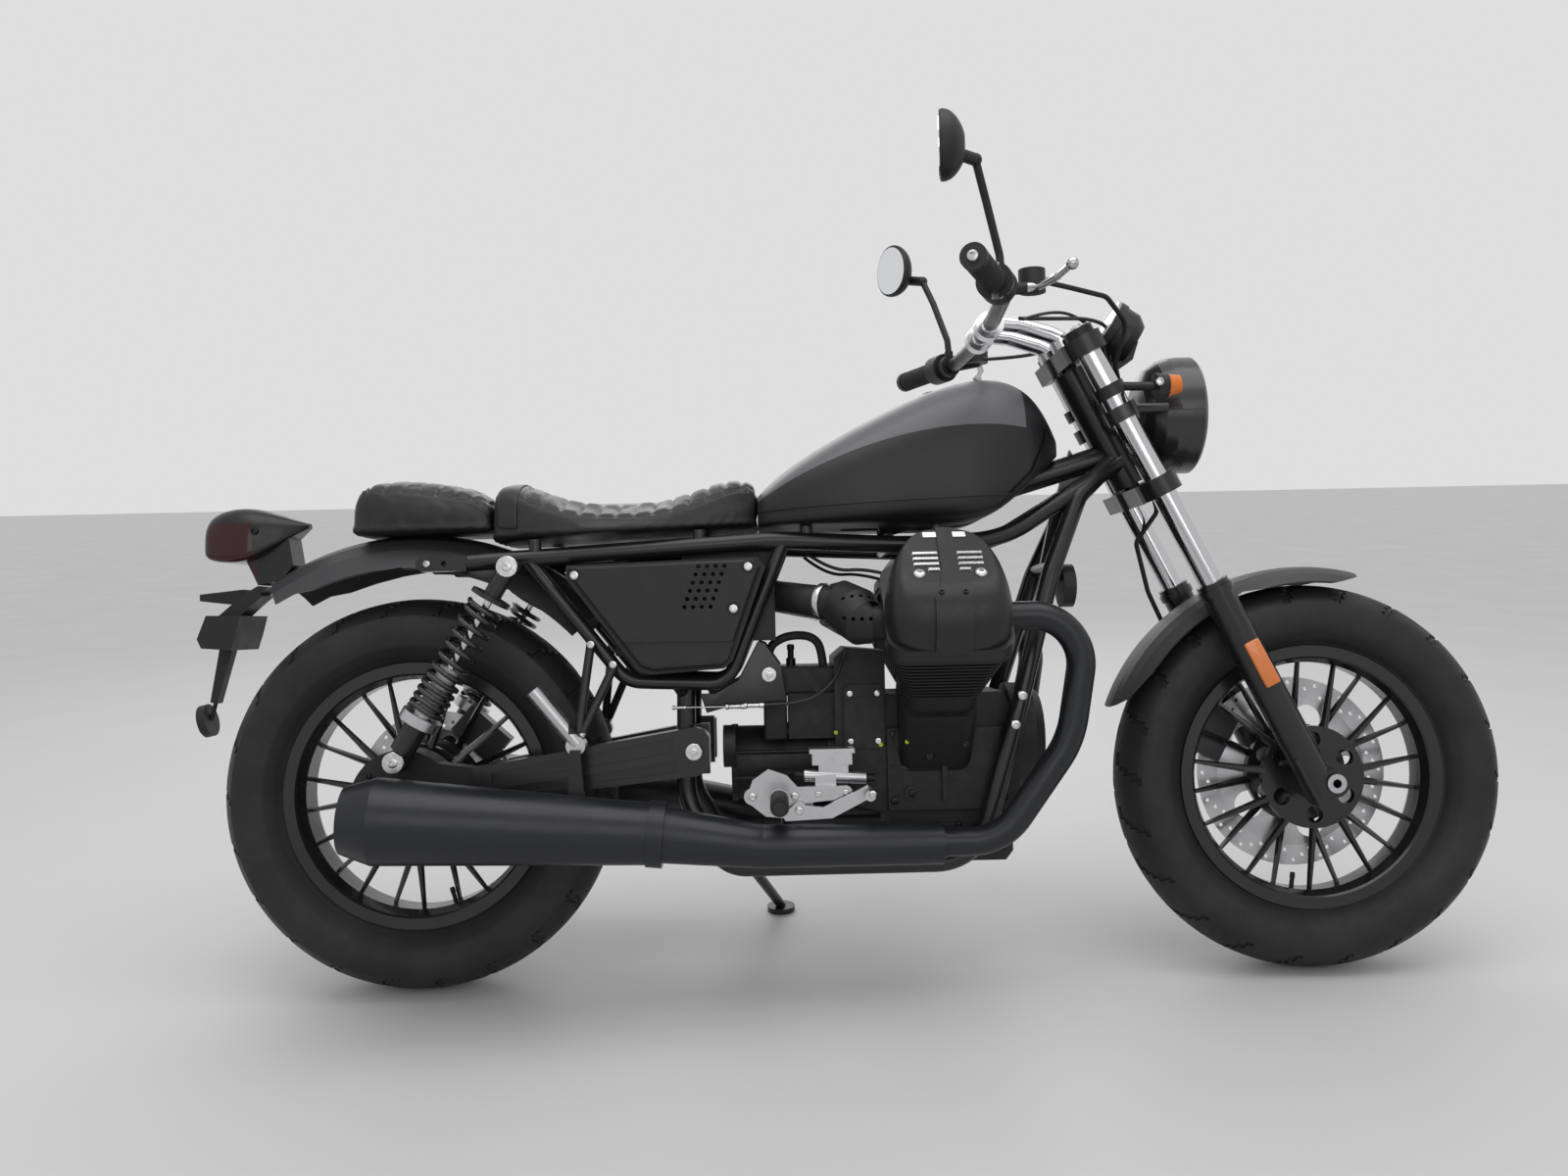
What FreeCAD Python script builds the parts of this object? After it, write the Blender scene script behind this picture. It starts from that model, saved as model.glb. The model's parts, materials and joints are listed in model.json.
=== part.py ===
# Cruiser motorcycle with a transverse V-twin engine and shaft drive, parked on its side stand.
# Everything is modelled upright: X forward from the rear axle, Y to the rider's left, Z up from
# the floor, in millimetres. At the end each piece is leaned over onto the stand and the origin
# goes to the middle of the whole machine's footprint, on the floor.

import FreeCAD
import Part
import math
import os

os.makedirs("parts", exist_ok=True)

V = FreeCAD.Vector
X = V(1, 0, 0)
Y = V(0, 1, 0)
Z = V(0, 0, 1)

# Driving dimensions
LEAN = 8.0                      # lean to the left on the stand, degrees
WHEELBASE = 1465.0
RAKE = 26.4                     # steering axis from upright, degrees
TRAIL = 125.1
STEERING_RANGE = 38.0           # to each side, degrees
FRONT_RADIUS = 316.0            # tyre, loaded
REAR_RADIUS = 320.0
FRONT_TYRE_WIDTH = 130.0
REAR_TYRE_WIDTH = 150.0
FRONT_RIM_WIDTH = 63.5          # between the flanges
REAR_RIM_WIDTH = 88.9
FLANGE_RADIUS = 216.0
BEAD_RADIUS = 203.0
RIM_INNER_RADIUS = 188.0
FLANGE_THICKNESS = 5.0
TYRE_WALL = 9.0
TREAD_DROP = 28.0               # tread's edge below its crown
TREAD_EDGE = 5.0                # tread's edge in from the tyre's full width
SPOKE_COUNT = 22
FRONT_DISC_RADIUS = 160.0
REAR_DISC_RADIUS = 130.0
DISC_THICKNESS = 5.0
AXLE_RADIUS = 10.0
AXLE_BORE_RADIUS = 7.0          # the front axle is a tube
RUNNING_FIT = 0.05              # radial clearance of a shaft in its hole
SEAT_GAP = 0.3                  # between pieces that lie on each other
SWING_GAP = 5.0                 # between pieces that move past each other

STANCHION_RADIUS = 20.0
SLIDER_RADIUS = 26.0
LEG_SPACING = 98.0              # fork leg from the middle plane
LEG_OFFSET = 12.0               # fork legs ahead of the steering axis
UPPER_YOKE_HEIGHT = 1121.0      # along the steering axis from the floor
YOKE_SPACING = 255.0
YOKE_THICKNESS = 30.0
STEM_RADIUS = 14.0
HEAD_RADIUS = 29.0

RAIL_RADIUS = 14.0
RAIL_SPACING = 110.0
CRADLE_RADIUS = 15.0
CRADLE_SPACING = 112.0          # cradle tubes beside the engine
UPRIGHT_SPACING = 84.0          # frame uprights inside the swingarm
PIVOT_X = 457.0                 # swingarm pivot
PIVOT_Z = 390.0
PIVOT_RADIUS = 11.0

CRANK_Z = 345.0
CYLINDER_X = 838.0              # right cylinder's axis, the left one is further forward
CYLINDER_STAGGER = 26.0
CYLINDER_ANGLE = 45.0
HEADER_RADIUS = 22.0

STAND_PIVOT = V(520.0, 140.0, 180.0)
STAND_FOOT = V(588.0, 306.0, 0.0)   # its height comes from the floor
STAND_FOLDED = V(-0.985, 0.13, -0.10)   # the way the folded leg points
STAND_PIN_RADIUS = 6.0

BAR_RADIUS = 12.5
GRIP_RADIUS = 17.0

# Worked out from the driving dimensions
LOWER_YOKE_HEIGHT = UPPER_YOKE_HEIGHT - YOKE_SPACING
RAKE_SIN = math.sin(math.radians(RAKE))
RAKE_COS = math.cos(math.radians(RAKE))
LEAN_SIN = math.sin(math.radians(LEAN))
LEAN_COS = math.cos(math.radians(LEAN))
STEERING_FOOT_X = WHEELBASE + TRAIL
AXLE_AHEAD = (FRONT_RADIUS * RAKE_SIN / RAKE_COS - TRAIL) * RAKE_COS
AXLE_UP = FRONT_RADIUS * RAKE_COS + TRAIL * RAKE_SIN
FRONT_AXLE = V(WHEELBASE, 0, FRONT_RADIUS)
REAR_AXLE = V(0, 0, REAR_RADIUS)
TREAD_CURVE = ((REAR_TYRE_WIDTH / 2 - TREAD_EDGE) ** 2 + TREAD_DROP ** 2) / (2 * TREAD_DROP)
FLOOR_DROP = TREAD_CURVE * (1 - LEAN_COS)   # the rounded tread rolls this much lower as it leans


def box(x0, x1, y0, y1, z0, z1):
    return Part.makeBox(x1 - x0, y1 - y0, z1 - z0, V(x0, y0, z0))


def rod(start, end, radius):
    run = end - start
    return Part.makeCylinder(radius, run.Length, start, run)


def tube(start, end, radius, bore):
    return rod(start, end, radius).cut(rod(start, end, bore))


def taper(start, end, radius_start, radius_end):
    run = end - start
    return Part.makeCone(radius_start, radius_end, run.Length, start, run)


def fuse(*shapes):
    joined = shapes[0].fuse(list(shapes[1:])) if len(shapes) > 1 else shapes[0]
    smoothed = joined.removeSplitter()
    return smoothed if smoothed.isValid() else joined


def fuse_in_turn(*shapes):
    """Joins one piece after another, which holds where many tubes meet at one place."""
    joined = shapes[0]
    for shape in shapes[1:]:
        joined = joined.fuse(shape)
    return joined


def mirrored(shape):
    return shape.mirror(V(0, 0, 0), Y)


def pair(shape):
    return Part.makeCompound([shape, mirrored(shape)])


def plate(outline, y0, y1):
    """A plate cut to an outline of (x, z) points, between two planes across the machine."""
    points = [V(x, y0, z) for x, z in outline]
    face = Part.Face(Part.makePolygon(points + [points[0]]))
    return face.extrude(V(0, y1 - y0, 0))


def turned(outline, centre, axis=Y, across=Z, angle=360.0):
    """A ring turned from an outline of (radius, along the axis) points."""
    points = [centre + across * r + axis * a for r, a in outline]
    face = Part.Face(Part.makePolygon(points + [points[0]]))
    return face.revolve(centre, axis, angle)


def bent_bar(points, radii, radius):
    """A round bar of straight runs joined by tangent bends, one bend radius per inner point."""
    pieces = []
    last = points[0]
    for before, corner, after, bend in zip(points, points[1:], points[2:], radii):
        back = (before - corner).normalize()
        on = (after - corner).normalize()
        half = back.getAngle(on) / 2.0
        reach = bend / math.tan(half)
        centre = corner + (back + on).normalize() * (bend / math.sin(half))
        first = corner + back * reach
        pieces.append(rod(last, first, radius))
        disc = Part.Face(Part.Wire([Part.Circle(first, back, radius).toShape()]))
        pieces.append(disc.revolve(centre, on.cross(back), 180.0 - math.degrees(half) * 2.0))
        last = corner + on * reach
    pieces.append(rod(last, points[-1], radius))
    return fuse(*pieces)


def bent_tube(points, radii, radius, wall):
    return bent_bar(points, radii, radius).cut(bent_bar(points, radii, radius - wall))


def skin(rows):
    """A smooth body over a net of control points: a closed ring of them at each station, flat ends."""
    across = len(rows[0])
    along = len(rows) - 3
    surface = Part.BSplineSurface()
    surface.buildFromPolesMultsKnots(rows, [4] + [1] * (along - 1) + [4], [1] * (across + 1),
                                     list(range(along + 1)), list(range(across + 1)), False, True, 3, 3)
    sides = surface.toShape()
    ends = [Part.Face(Part.Wire([surface.uIso(u).toShape()])) for u in (0, along)]
    shell = Part.makeShell([sides] + ends)
    shell.sewShape()
    body = Part.makeSolid(shell)
    if body.Volume < 0:
        body.reverse()
    return body


def soft_row(x, half, low, high, shoulder, waist=1.0, edge=0.9):
    """Control points of one cross section: flat below, upright sides, crowned above the shoulder."""
    right = [(0, low), (half * 0.5 * waist, low), (half * waist, low), (half, low + (shoulder - low) * 0.35),
             (half, shoulder), (half * edge, shoulder + (high - shoulder) * 0.62), (half * 0.55, high),
             (0, high)]
    points = right + [(-y, z) for y, z in reversed(right[1:-1])]
    return [V(x, -y, z) for y, z in points]


def steering_point(ahead, y, along):
    """A point given ahead of the steering axis, across, and along it from the floor."""
    return V(STEERING_FOOT_X - along * RAKE_SIN + ahead * RAKE_COS, y, along * RAKE_COS + ahead * RAKE_SIN)


def raked(shape):
    """Puts a shape, modelled with the steering axis upright at the origin, in its place."""
    placed = shape.copy()
    placed.Placement = FreeCAD.Placement(V(STEERING_FOOT_X, 0, 0), FreeCAD.Rotation(Y, -RAKE))
    return placed


# Wheels, tyres, discs and axles

def tyre(centre, radius, width, rim_width):
    """A hollow tyre: rounded tread, bulging side walls and the two beads on their rim seats."""
    half = width / 2.0
    bead = rim_width / 2.0
    shoulder = (radius - TREAD_DROP, half - TREAD_EDGE)

    def at(point, side):
        return centre + Z * point[0] + Y * (point[1] * side)

    tread = Part.Arc(at(shoulder, -1), at((radius, 0), 1), at(shoulder, 1)).toShape()
    edges = [tread]
    for side in (-1, 1):
        edges.append(Part.Arc(at(shoulder, side), at((radius - 54, half), side),
                              at((FLANGE_RADIUS + 5, bead + 3), side)).toShape())
        edges.append(Part.LineSegment(at((FLANGE_RADIUS + 5, bead + 3), side),
                                      at((FLANGE_RADIUS, bead), side)).toShape())
        edges.append(Part.LineSegment(at((FLANGE_RADIUS, bead), side),
                                      at((BEAD_RADIUS, bead), side)).toShape())
    inner = [(BEAD_RADIUS, bead), (BEAD_RADIUS, bead - TYRE_WALL), (FLANGE_RADIUS + 30, half - TYRE_WALL - 5),
             (radius - 36, half - TYRE_WALL - 3), (radius - 14, half * 0.4)]
    ring = [at(p, -1) for p in inner] + [at(p, 1) for p in reversed(inner)]
    for start, end in zip(ring, ring[1:]):
        edges.append(Part.LineSegment(start, end).toShape())
    face = Part.Face(Part.Wire(Part.__sortEdges__(edges)))
    return face.revolve(centre, Y, 360)


def rim(centre, rim_width):
    half = rim_width / 2.0
    lip = half + FLANGE_THICKNESS
    return turned([(RIM_INNER_RADIUS, -half * 0.55), (BEAD_RADIUS - 8, -half - 2), (BEAD_RADIUS - 5, -lip),
                   (FLANGE_RADIUS, -lip), (FLANGE_RADIUS, -half), (BEAD_RADIUS, -half),
                   (BEAD_RADIUS, -half + 16), (RIM_INNER_RADIUS + 6, -half * 0.45),
                   (RIM_INNER_RADIUS + 6, half * 0.45), (BEAD_RADIUS, half - 16),
                   (BEAD_RADIUS, half), (FLANGE_RADIUS, half), (FLANGE_RADIUS, lip),
                   (BEAD_RADIUS - 5, lip), (BEAD_RADIUS - 8, half + 2), (RIM_INNER_RADIUS, half * 0.55)],
                   centre)


def spoke(centre, angle, hub_radius, hub_y, rim_y):
    """One cast spoke, thick at the hub and thin at the rim, that crosses from flange to rim."""
    out = V(math.cos(angle), 0, math.sin(angle))
    side = V(-math.sin(angle), 0, math.cos(angle))
    sections = []
    for r, y, wide, deep in ((hub_radius - 4, hub_y, 7.0, 7.0), (RIM_INNER_RADIUS + 3, rim_y, 3.6, 6.0)):
        middle = centre + out * r + Y * y
        corners = [middle + side * a * wide + Y * b * deep
                   for a, b in ((-1, 0), (-0.5, -1), (0.5, -1), (1, 0), (0.5, 1), (-0.5, 1))]
        sections.append(Part.makePolygon(corners + [corners[0]]))
    return Part.makeLoft(sections, True, True)


def cast_wheel(centre, rim_width, flange_radius, flange_y, hub_right, hub_left):
    """Barrel with two pierced flanges, the rim, and thin spokes that cross from each flange to the rim."""
    barrel = turned([(AXLE_RADIUS + RUNNING_FIT, -hub_right), (34, -hub_right), (36, -flange_y - 6),
                     (flange_radius, -flange_y - 6), (flange_radius, -flange_y + 6), (40, -flange_y + 10),
                     (40, flange_y - 10), (flange_radius, flange_y - 6), (flange_radius, flange_y + 6),
                     (36, flange_y + 6), (34, hub_left), (AXLE_RADIUS + RUNNING_FIT, hub_left)], centre)
    lobes = []
    for i in range(HUB_LOBES):
        angle = 2 * math.pi * (i + 0.5) / HUB_LOBES
        at = centre + V(math.cos(angle), 0, math.sin(angle)) * HUB_LOBE_CIRCLE
        lobes.append(rod(at - Y * (flange_y + 8), at + Y * (flange_y + 8), HUB_LOBE_RADIUS))
    barrel = barrel.cut(Part.makeCompound(lobes))
    spokes = []
    for i in range(SPOKE_COUNT):
        side = -1 if i % 2 == 0 else 1
        angle = 2 * math.pi * (i + 0.5) / SPOKE_COUNT
        spokes.append(spoke(centre, angle, flange_radius, side * flange_y, side * rim_width * 0.12))
    return fuse(barrel, rim(centre, rim_width), *spokes)


def brake_disc(centre, radius, y, hub_y, bolt_circle, holes):
    """A drilled ring on a thin carrier, which is bolted to the hub's left face."""
    ring = turned([(radius - DISC_BAND, y), (radius, y), (radius, y + DISC_THICKNESS),
                   (radius - DISC_BAND, y + DISC_THICKNESS)], centre)
    carrier = turned([(bolt_circle - 12, hub_y), (bolt_circle + 10, hub_y), (radius - DISC_BAND + 4, y + 1),
                      (radius - DISC_BAND + 4, y + 4), (bolt_circle + 8, hub_y + 4),
                      (bolt_circle - 12, hub_y + 4)], centre)
    cuts = []
    for i in range(5):
        angle = 2 * math.pi * i / 5
        at = centre + V(math.cos(angle), 0, math.sin(angle)) * ((radius - DISC_BAND + bolt_circle + 10) / 2.0)
        cuts.append(rod(at - Y * 80, at + Y * 120, (radius - DISC_BAND - bolt_circle - 10) * 0.36))
    for i in range(holes):
        angle = 2 * math.pi * i / holes
        at = centre + V(math.cos(angle), 0, math.sin(angle)) * (radius - DISC_BAND * (0.25 + 0.25 * (i % 3)))
        cuts.append(rod(at + Y * (y - 1), at + Y * (y + DISC_THICKNESS + 1), DISC_HOLE_RADIUS))
    return fuse(ring, carrier).cut(Part.makeCompound(cuts))


FRONT_HUB_HALF = 69.0
REAR_HUB_HALF = 66.0
HUB_LOBES = 6                   # round windows through both hub flanges
HUB_LOBE_CIRCLE = 61.0
HUB_LOBE_RADIUS = 14.0
DISC_BAND = 34.0                # width of the rubbed ring
DISC_HOLE_RADIUS = 3.2
FRONT_FLANGE_Y = 34.0
REAR_FLANGE_Y = 42.0
HUB_FLANGE_RADIUS = 84.0
FRONT_DISC_Y = 50.0
REAR_DISC_Y = 70.0


def front_tyre():
    return tyre(FRONT_AXLE, FRONT_RADIUS, FRONT_TYRE_WIDTH, FRONT_RIM_WIDTH)


def rear_tyre():
    return tyre(REAR_AXLE, REAR_RADIUS, REAR_TYRE_WIDTH, REAR_RIM_WIDTH)


def front_wheel():
    return cast_wheel(FRONT_AXLE, FRONT_RIM_WIDTH, HUB_FLANGE_RADIUS, FRONT_FLANGE_Y, FRONT_HUB_HALF,
                      FRONT_HUB_HALF)


def rear_wheel():
    return cast_wheel(REAR_AXLE, REAR_RIM_WIDTH, HUB_FLANGE_RADIUS, REAR_FLANGE_Y, REAR_HUB_HALF,
                      REAR_HUB_HALF)


def front_disc():
    return brake_disc(FRONT_AXLE, FRONT_DISC_RADIUS, FRONT_DISC_Y, FRONT_FLANGE_Y + 6, 50.0, 60)


def rear_disc():
    return brake_disc(REAR_AXLE, REAR_DISC_RADIUS, REAR_DISC_Y, REAR_FLANGE_Y + 6, 50.0, 48)


def front_axle():
    """A hollow wheel spindle through both fork legs."""
    end = LEG_SPACING + SLIDER_RADIUS + 4
    spindle = tube(FRONT_AXLE - Y * end, FRONT_AXLE + Y * end, AXLE_RADIUS, AXLE_BORE_RADIUS)
    collar = tube(FRONT_AXLE - Y * end, FRONT_AXLE - Y * (LEG_SPACING + SLIDER_RADIUS + SEAT_GAP), 15,
                  AXLE_BORE_RADIUS)
    nut = tube(FRONT_AXLE + Y * (LEG_SPACING + SLIDER_RADIUS + SEAT_GAP), FRONT_AXLE + Y * end, 15,
               AXLE_BORE_RADIUS)
    return fuse(spindle, collar, nut)


DRIVE_JOINT_X = 112.0           # where the arm's tube meets the bevel box
DRIVE_INNER_Y = REAR_HUB_HALF + SWING_GAP + 7
DRIVE_OUTER_Y = 132.0


def rear_axle():
    end = ARM_OUTER - 8 + 12
    spindle = rod(REAR_AXLE - Y * (DRIVE_OUTER_Y + 10), REAR_AXLE + Y * end, AXLE_RADIUS)
    nut = rod(REAR_AXLE + Y * (ARM_OUTER - 8 + SEAT_GAP), REAR_AXLE + Y * end, 16)
    head = rod(REAR_AXLE - Y * (DRIVE_OUTER_Y + 10), REAR_AXLE - Y * (DRIVE_OUTER_Y + SEAT_GAP), 16)
    return fuse(spindle, nut, head)


# Frame

SPINE_RADIUS = 20.0
LOOP_RADIUS = 11.0
SPINE_FRONT = steering_point(-8, 0, LOWER_YOKE_HEIGHT + 96)
SPINE_REAR = V(762, 0, 744)
ARM_INNER = 101.0               # faces of the swingarm's arms
ARM_OUTER = 139.0


WING_HALF = 100.0               # gear case's mounting faces
FOOT_BOSS_Y = 128.0             # where the foot rest brackets bolt on
TANK_LOW = 741.0                # the tank's flat underside
TAIL_START = 104.0              # where the rails end in their cast tail pieces
TAIL_END = 24.0
TAIL_HALF_HEIGHT = 12.0
RACK_X = 68.0                   # bolt holes for a luggage rack, in the tail pieces
RACK_Z = 692.0
RACK_BOSS_Y = 124.0
RACK_HOLE_RADIUS = 4.25
RACK_HOLE_LENGTH = 18.0


def seat_low(x):
    """Height of the rider's seat base, which rises a little to the front."""
    return 726.0 + (x - 150.0) * 0.039


# Rubber buffers on the rails under the tank and the seat: x, y, foot and top
BUFFERS = [(640, 102, 712, TANK_LOW), (850, 85, 705, TANK_LOW), (210, RAIL_SPACING, 698, seat_low(200)),
           (470, RAIL_SPACING, 712, seat_low(460))]


def rack_hole(side):
    return rod(V(RACK_X, side * (RACK_BOSS_Y - RACK_HOLE_LENGTH), RACK_Z),
               V(RACK_X, side * RACK_BOSS_Y, RACK_Z),
               RACK_HOLE_RADIUS)


def stand_axis():
    """The side stand's hinge line: a turn about it takes the leg from the floor to its folded place."""
    return (stand_foot() - STAND_PIVOT).cross(STAND_FOLDED).normalize()


def stand_clevis():
    """Forked lug on the left cradle tube, with the side stand's pin through it."""
    axis = stand_axis()
    inward = V(0, CRADLE_SPACING, 205) - V(0, STAND_PIVOT.y, STAND_PIVOT.z)
    inward = (inward - axis * inward.dot(axis)).normalize()
    block = box(-13, 36, -13, 13, -19, 19).cut(box(-14, 20, -14, 14, -12, 12))
    block = fuse(block, rod(V(0, 0, -19), V(0, 0, 19), STAND_PIN_RADIUS))
    turn = FreeCAD.Rotation(inward, axis.cross(inward), axis, "ZXY")
    block.Placement = FreeCAD.Placement(STAND_PIVOT, turn)
    return block


def frame():
    """Steel tube frame: head, backbone, seat rails with their side loops, down tubes and cradle."""
    head = tube(steering_point(0, 0, LOWER_YOKE_HEIGHT + YOKE_THICKNESS + 4),
                steering_point(0, 0, UPPER_YOKE_HEIGHT - 4), HEAD_RADIUS, STEM_RADIUS + RUNNING_FIT)
    low = steering_point(0, 0, LOWER_YOKE_HEIGHT + YOKE_THICKNESS + 34)
    tubes = []
    tail_room = box(TAIL_END, TAIL_START, -RACK_BOSS_Y, RACK_BOSS_Y, RACK_Z - 30, RACK_Z + 30)
    for side in (-1, 1):
        rail = [V(TAIL_START - 2, side * RAIL_SPACING, RACK_Z + 1), V(589, side * RAIL_SPACING, 719),
                V(800, side * 96, 708), V(960, side * 62, 716), V(low.x - 6, side * 17, low.z + 12)]
        tubes.append(bent_bar(rail, [300, 300, 200], RAIL_RADIUS).cut(tail_room))
        down = [steering_point(-14, side * 17, LOWER_YOKE_HEIGHT + 84), V(1092, side * 38, 786),
                V(1036, side * 72, 660), V(968, side * CRADLE_SPACING, 440),
                V(900, side * CRADLE_SPACING, 205), V(500, side * CRADLE_SPACING, 205),
                V(440, side * UPRIGHT_SPACING, 310), V(PIVOT_X - 14, side * UPRIGHT_SPACING, 490)]
        tubes.append(bent_bar(down, [50, 120, 160, 90, 60, 90], CRADLE_RADIUS))
        loop = [V(196, side * RAIL_SPACING, 697), V(352, side * RAIL_SPACING, 500),
                V(510, side * RAIL_SPACING, 493), V(604, side * RAIL_SPACING, 718)]
        tubes.append(bent_bar(loop, [48, 42], LOOP_RADIUS))
        tubes.append(rod(V(PIVOT_X - 16, side * UPRIGHT_SPACING, 476), V(430, side * RAIL_SPACING, 497), 11))
    spine = rod(SPINE_FRONT, SPINE_REAR, SPINE_RADIUS)
    cross_front = rod(V(775, -98, 710), V(775, 98, 710), 12)
    riser = rod(V(775, 0, 708), V(775, 0, 752), 14)
    cross_seat = rod(V(500, -RAIL_SPACING, 714), V(500, RAIL_SPACING, 714), 11)
    cross_low = rod(V(520, -CRADLE_SPACING, 205), V(520, CRADLE_SPACING, 205), 13)
    spindle = rod(V(PIVOT_X, -ARM_OUTER - 6, PIVOT_Z), V(PIVOT_X, ARM_OUTER + 6, PIVOT_Z), PIVOT_RADIUS)
    lug = plate([(430, 350), (PIVOT_X + 22, 350), (PIVOT_X + 22, 430), (436, 430)],
                -UPRIGHT_SPACING - 7, -UPRIGHT_SPACING + 7)
    cross_head = rod(V(1040, -62, 668), V(1040, 62, 668), 11)
    gusset = plate([(1122, 812), (1048, 664), (1032, 668), (1050, 745), (1088, 868)], -5, 5)
    for side in (-1, 1):
        tubes.append(rod(V(927, side * (CASE_HALF + SEAT_GAP), 300), V(927, side * CRADLE_SPACING, 300), 12))
        tubes.append(rod(V(600, side * CRADLE_SPACING, 205), V(600, side * CRADLE_SPACING, 350), 10))
        tubes.append(rod(V(600, side * (WING_HALF + SEAT_GAP), 338), V(600, side * CRADLE_SPACING, 338), 12))
        tubes.append(rod(V(600, side * CRADLE_SPACING, 311), V(600, side * FOOT_BOSS_Y, 311), 14))
        for x, y, z, top in BUFFERS:
            tubes.append(rod(V(x, side * y, z), V(x, side * y, top - SEAT_GAP), 10))
    bore = rod(steering_point(0, 0, LOWER_YOKE_HEIGHT), steering_point(0, 0, UPPER_YOKE_HEIGHT),
               STEM_RADIUS + RUNNING_FIT)
    body = fuse_in_turn(head, spine, cross_front, riser, cross_seat, cross_low, cross_head, gusset,
                        lug, mirrored(lug), *tubes, spindle, stand_clevis())
    return body.cut(bore)


def rail_tails():
    """Cast end of each seat rail, with a bolt hole for a rack and the stubs that hold the fender."""
    both = []
    inner = 2 * RAIL_SPACING - RACK_BOSS_Y
    for side in (-1, 1):
        low = RACK_Z - TAIL_HALF_HEIGHT
        high = RACK_Z + TAIL_HALF_HEIGHT
        bar = plate([(TAIL_END + 8, low), (TAIL_START - SEAT_GAP, low), (TAIL_START - SEAT_GAP, high),
                     (TAIL_END + 8, high), (TAIL_END, RACK_Z + 4), (TAIL_END, RACK_Z - 4)],
                    side * inner, side * RACK_BOSS_Y)
        stubs = [rod(V(x, side * (inner + 4), RACK_Z), V(x, side * 70, RACK_Z), 7).cut(fender_space())
                 for x in (44, 92)]
        both.append(fuse(bar, *stubs).cut(rack_hole(side)))
    return Part.makeCompound(both)


# Engine

def cylinder_frame(side, stagger):
    """The origin on the crank's line, the way out along the cylinder, and the way down across it."""
    angle = math.radians(CYLINDER_ANGLE)
    out = V(0, side * math.sin(angle), math.cos(angle))
    down = V(0, side * math.cos(angle), -math.sin(angle))
    return V(CYLINDER_X + stagger, 0, CRANK_Z), out, down


CYLINDER_SIDES = ((-1, 0.0), (1, CYLINDER_STAGGER))
CASE_FRONT = 976.0
CASE_REAR = 762.0
CASE_TOP = 470.0
CASE_BOTTOM = 268.0
CASE_HALF = 92.0
DECK = 196.0                    # cylinder foot from the crank's line
FIN_START = 236.0
FIN_END = 346.0
FIN_PITCH = 9.0
FIN_THICKNESS = 3.0
COVER_START = 349.0
COVER_CROWN = 369.0             # where the rocker cover's helmet rises from its base
COVER_RISE = 72.0
COVER_TOP_EDGE = -90.0          # the helmet's upper edge, which rises steeply
COVER_RING = [(0, -90), (40, -90), (68, -70), (88, -26), (94, 28), (88, 74), (54, 92), (0, 92), (-54, 92),
              (-88, 74), (-94, 28), (-88, -26), (-68, -70), (-40, -90)]
COVER_BARS = 4
COVER_BAR_FIRST = -36.0
COVER_BAR_PITCH = 11.5
COVER_BAR_REACH = 50.0
SUMP_RIB_REACH = 80.0
SHIELD_HOLES = 4
SHIELD_HOLE_PITCH = 13.0
SHIELD_HOLE_RADIUS = 3.0
GEAR_CASE_Z = 358.0
GEAR_CASE_RADIUS = 60.0


def slab(origin, out, down, t0, t1, half_x, half_down, corner):
    """A block with rounded corners across a cylinder, between two heights along it."""
    a = half_x - corner
    b = half_down - corner
    base = origin + out * t0
    turns = [(a, b, 0), (-a, b, 90), (-a, -b, 180), (a, -b, 270)]
    edges = []
    ends = []
    for cx, cd, start in turns:
        centre = base + X * cx + down * cd
        arc = []
        for d in (0, 45, 90):
            turn = math.radians(start + d)
            arc.append(centre + X * (corner * math.cos(turn)) + down * (corner * math.sin(turn)))
        ends.append(arc)
    for i, arc in enumerate(ends):
        edges.append(Part.Arc(arc[0], arc[1], arc[2]).toShape())
        edges.append(Part.LineSegment(arc[2], ends[(i + 1) % 4][0]).toShape())
    return Part.Face(Part.Wire(edges)).extrude(out * (t1 - t0))


def crankcase():
    """Crankcase with its two cylinder feet, the ribbed sump below and the round generator cover in front."""
    body = plate([(CASE_REAR, CASE_BOTTOM), (CASE_FRONT, CASE_BOTTOM), (CASE_FRONT, 420), (952, CASE_TOP),
                  (CASE_REAR, CASE_TOP)], -78, 78)
    wide = plate([(CASE_REAR, 285), (960, 285), (960, 415), (CASE_REAR, 415)], -CASE_HALF, CASE_HALF)
    feet = []
    for side, stagger in CYLINDER_SIDES:
        origin, out, down = cylinder_frame(side, stagger)
        feet.append(slab(origin, out, down, 60, DECK, 58, 64, 20))
    sump = plate([(775, 200), (950, 200), (962, 215), (962, CASE_BOTTOM), (CASE_REAR, CASE_BOTTOM),
                  (CASE_REAR, 215)],
                 -76, 76)
    ribs = [box(780, 948, -SUMP_RIB_REACH, SUMP_RIB_REACH, 212 + i * 13, 216 + i * 13) for i in range(5)]
    cover = rod(V(CASE_FRONT - 10, 0, 392), V(1004, 0, 392), 88)
    dome = taper(V(1004, 0, 392), V(1020, 0, 392), 88, 72)
    bosses = []
    for side in (-1, 1):
        face = side * (CASE_HALF - 2)
        for x, z, radius, reach in ((789, 398, 17, 9), (826, 372, 12, 7), (880, 392, 15, 6),
                                    (930, 330, 12, 6),
                                    (800, 312, 12, 6)):
            bosses.append(rod(V(x, face, z), V(x, face + side * reach, z), radius))
        bosses.append(plate([(848, 300), (856, 300), (856, 400), (848, 400)], face, face + side * 10))
        bosses.append(plate([(CASE_REAR + 6, 350), (840, 350), (840, 356), (CASE_REAR + 6, 356)], face,
                            face + side * 6))
    return fuse_in_turn(fuse(body, wide, sump, cover, dome, *feet), *ribs, *bosses)


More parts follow.
